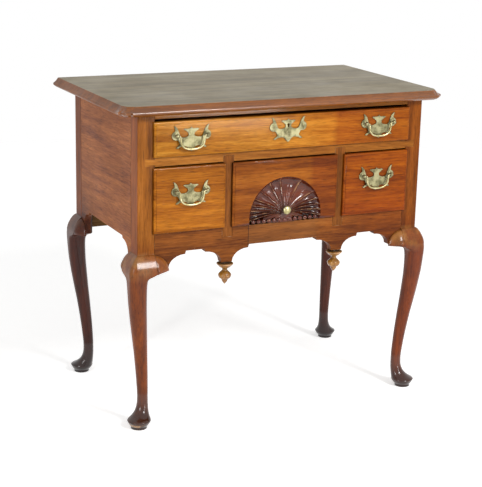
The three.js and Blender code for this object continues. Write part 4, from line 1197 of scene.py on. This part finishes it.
dress(make_board(), "top_board")
for side, hand in HANDS.items():
    neighbours = {
        "front": (-1, (f"side_panel_{side}", "apron_front", "drawer_divider", "top_rail")),
        "rear": (1, (f"side_panel_{side}", "back_panel")),
    }
    for place, (end, nodes) in neighbours.items():
        leg = make_leg(f"leg_{place}_{side}_shaped", hand, end)
        combine(leg, "DIFFERENCE", *[fattened(node, GLUE_GAP) for node in nodes])
        dress(mark(leg, "gleam", below_post), f"leg_{place}_{side}")

    def on_front(run, proud, z, hand=hand):
        return hand * (CASE_SIDE - run), CASE_FRONT - proud, z

    def on_side_front(run, proud, z, hand=hand):
        return hand * (CASE_SIDE + proud), CASE_FRONT + run, z

    def on_side_rear(run, proud, z, hand=hand):
        return hand * (CASE_SIDE + proud), CASE_BACK - run, z

    blocks = {"front": on_front, "side_front": on_side_front, "side_rear": on_side_rear}
    for place, to_world in blocks.items():
        node = f"knee_block_{place}_{side}"
        dress(mark(make_block(f"{node}_shaped", to_world), "gleam", below_post), node)
    dress(make_finial(f"drop_finial_{side}"), f"drop_finial_{side}")

dress(make_fan_front(), "fan_drawer_front")
dress(make_knob("fan_drawer_knob"), "fan_drawer_knob")
for pull in PULLS:
    dress(make_pull(pull), pull)
    dress(make_bail(bail_of(pull)), bail_of(pull))

for node, (_, _, ease) in FINISHES.items():
    if not frame["nodes"][node].hide_render:
        dress(eased(f"{node}_eased", frame["nodes"][node].data, ease), node)


# Camera, fitted to the photograph's viewing angle.
CAMERA_AZIMUTH = math.radians(-25.9)
CAMERA_ELEVATION = math.radians(15.3)
CAMERA_ROLL = math.radians(1.3)
CAMERA_DISTANCE = 3.4355
CAMERA_TARGET = Vector((-0.0075, 0.004, 0.3653))
FOCAL_SHARE = 2.7595
SENSOR = 36

back = Vector(
    (
        math.sin(CAMERA_AZIMUTH) * math.cos(CAMERA_ELEVATION),
        -math.cos(CAMERA_AZIMUTH) * math.cos(CAMERA_ELEVATION),
        math.sin(CAMERA_ELEVATION),
    )
)
right = Vector((math.cos(CAMERA_AZIMUTH), math.sin(CAMERA_AZIMUTH), 0))
rolled = Matrix.Rotation(CAMERA_ROLL, 3, back)
axes = Matrix((rolled @ right, rolled @ back.cross(right), back)).transposed().to_4x4()
camera_data = bpy.data.cameras.new("camera")
camera_data.sensor_width = SENSOR
camera_data.lens = SENSOR * FOCAL_SHARE
camera = bpy.data.objects.new("camera", camera_data)
camera.matrix_world = Matrix.Translation(CAMERA_TARGET + back * CAMERA_DISTANCE) @ axes
bpy.context.scene.collection.objects.link(camera)
bpy.context.scene.camera = camera

# Lamps: name, place, width, height and power in watts.
LAMP_TARGET = Vector((0, 0, 0.4))
LAMPS = (
    ("key", Vector((1.1, -3.5, 2.9)), 0.9, 0.9, 96),
    ("window", Vector((0.95, -2.6, 0.3)), 0.5, 0.1, 6),
    ("glint", Vector((0.95, -2.6, 0.95)), 0.3, 0.3, 6),
    ("side", Vector((-2.7, -1.6, 1.3)), 0.3, 0.9, 20),
)


def softbox(name, place, width, height, power):
    data = bpy.data.lights.new(name, "AREA")
    data.shape = "RECTANGLE"
    data.size = width
    data.size_y = height
    data.energy = power
    lamp = bpy.data.objects.new(name, data)
    lamp.location = place
    lamp.rotation_euler = (LAMP_TARGET - place).to_track_quat("-Z", "Y").to_euler()
    bpy.context.scene.collection.objects.link(lamp)


for lamp in LAMPS:
    softbox(*lamp)


def backdrop_rays(tree):
    """1 for the rays that see the backdrop, straight or in gloss and glass, and 0 for those that light."""
    path = tree.nodes.new("ShaderNodeLightPath")
    seen = path.outputs["Is Camera Ray"]
    for ray in ("Is Glossy Ray", "Is Transmission Ray"):
        either = tree.nodes.new("ShaderNodeMath")
        either.operation = "MAXIMUM"
        tree.links.new(seen, either.inputs[0])
        tree.links.new(path.outputs[ray], either.inputs[1])
        seen = either.outputs[0]
    return seen


# White surroundings, which light the object less strongly than they look.
AMBIENT = 0.45
world = bpy.data.worlds.new("studio")
world.use_nodes = True
bpy.context.scene.world = world
background = world.node_tree.nodes["Background"]
background.inputs["Color"].default_value = (1, 1, 1, 1)
strength = world.node_tree.nodes.new("ShaderNodeMapRange")
strength.inputs["To Min"].default_value = AMBIENT
world.node_tree.links.new(backdrop_rays(world.node_tree), strength.inputs["Value"])
world.node_tree.links.new(strength.outputs[0], background.inputs["Strength"])

# A pale floor that fades into the white round it.
FLOOR_RADIUS = 4
FLOOR_SOLID = 1.2
FLOOR_SIDES = 64
FLOOR_LIFT = 0.5
FLOOR_GLOSS = 0.9
FLOOR_SHINE = 0.1
FLOOR_NOISE = (40, 3, 0.5)
FLOOR_TONE_SHARES = (0.3, 0.7)
FLOOR_TONES = (tone(248, 248, 247), tone(252, 252, 251))
floor_form = bmesh.new()
bmesh.ops.create_circle(floor_form, cap_ends=True, segments=FLOOR_SIDES, radius=FLOOR_RADIUS)
floor = piece_from("floor", floor_form)
pale = Finish("pale_floor")
away = pale.node("ShaderNodeVectorMath", {0: pale.place}, output="Value", operation="LENGTH")
floor_inputs = {
    "Base Color": pale.ramp(pale.noise(*FLOOR_NOISE), FLOOR_TONE_SHARES, FLOOR_TONES),
    "Roughness": FLOOR_GLOSS,
    "Specular IOR Level": FLOOR_SHINE,
    "Emission Color": (1, 1, 1, 1),
    "Emission Strength": pale.product(backdrop_rays(pale.tree), FLOOR_LIFT),
    "Alpha": pale.spread(away, FLOOR_SOLID, FLOOR_RADIUS, 1, 0),
}
floor.data.materials.append(pale.finish(floor_inputs))

bpy.context.scene.view_settings.view_transform = "Standard"
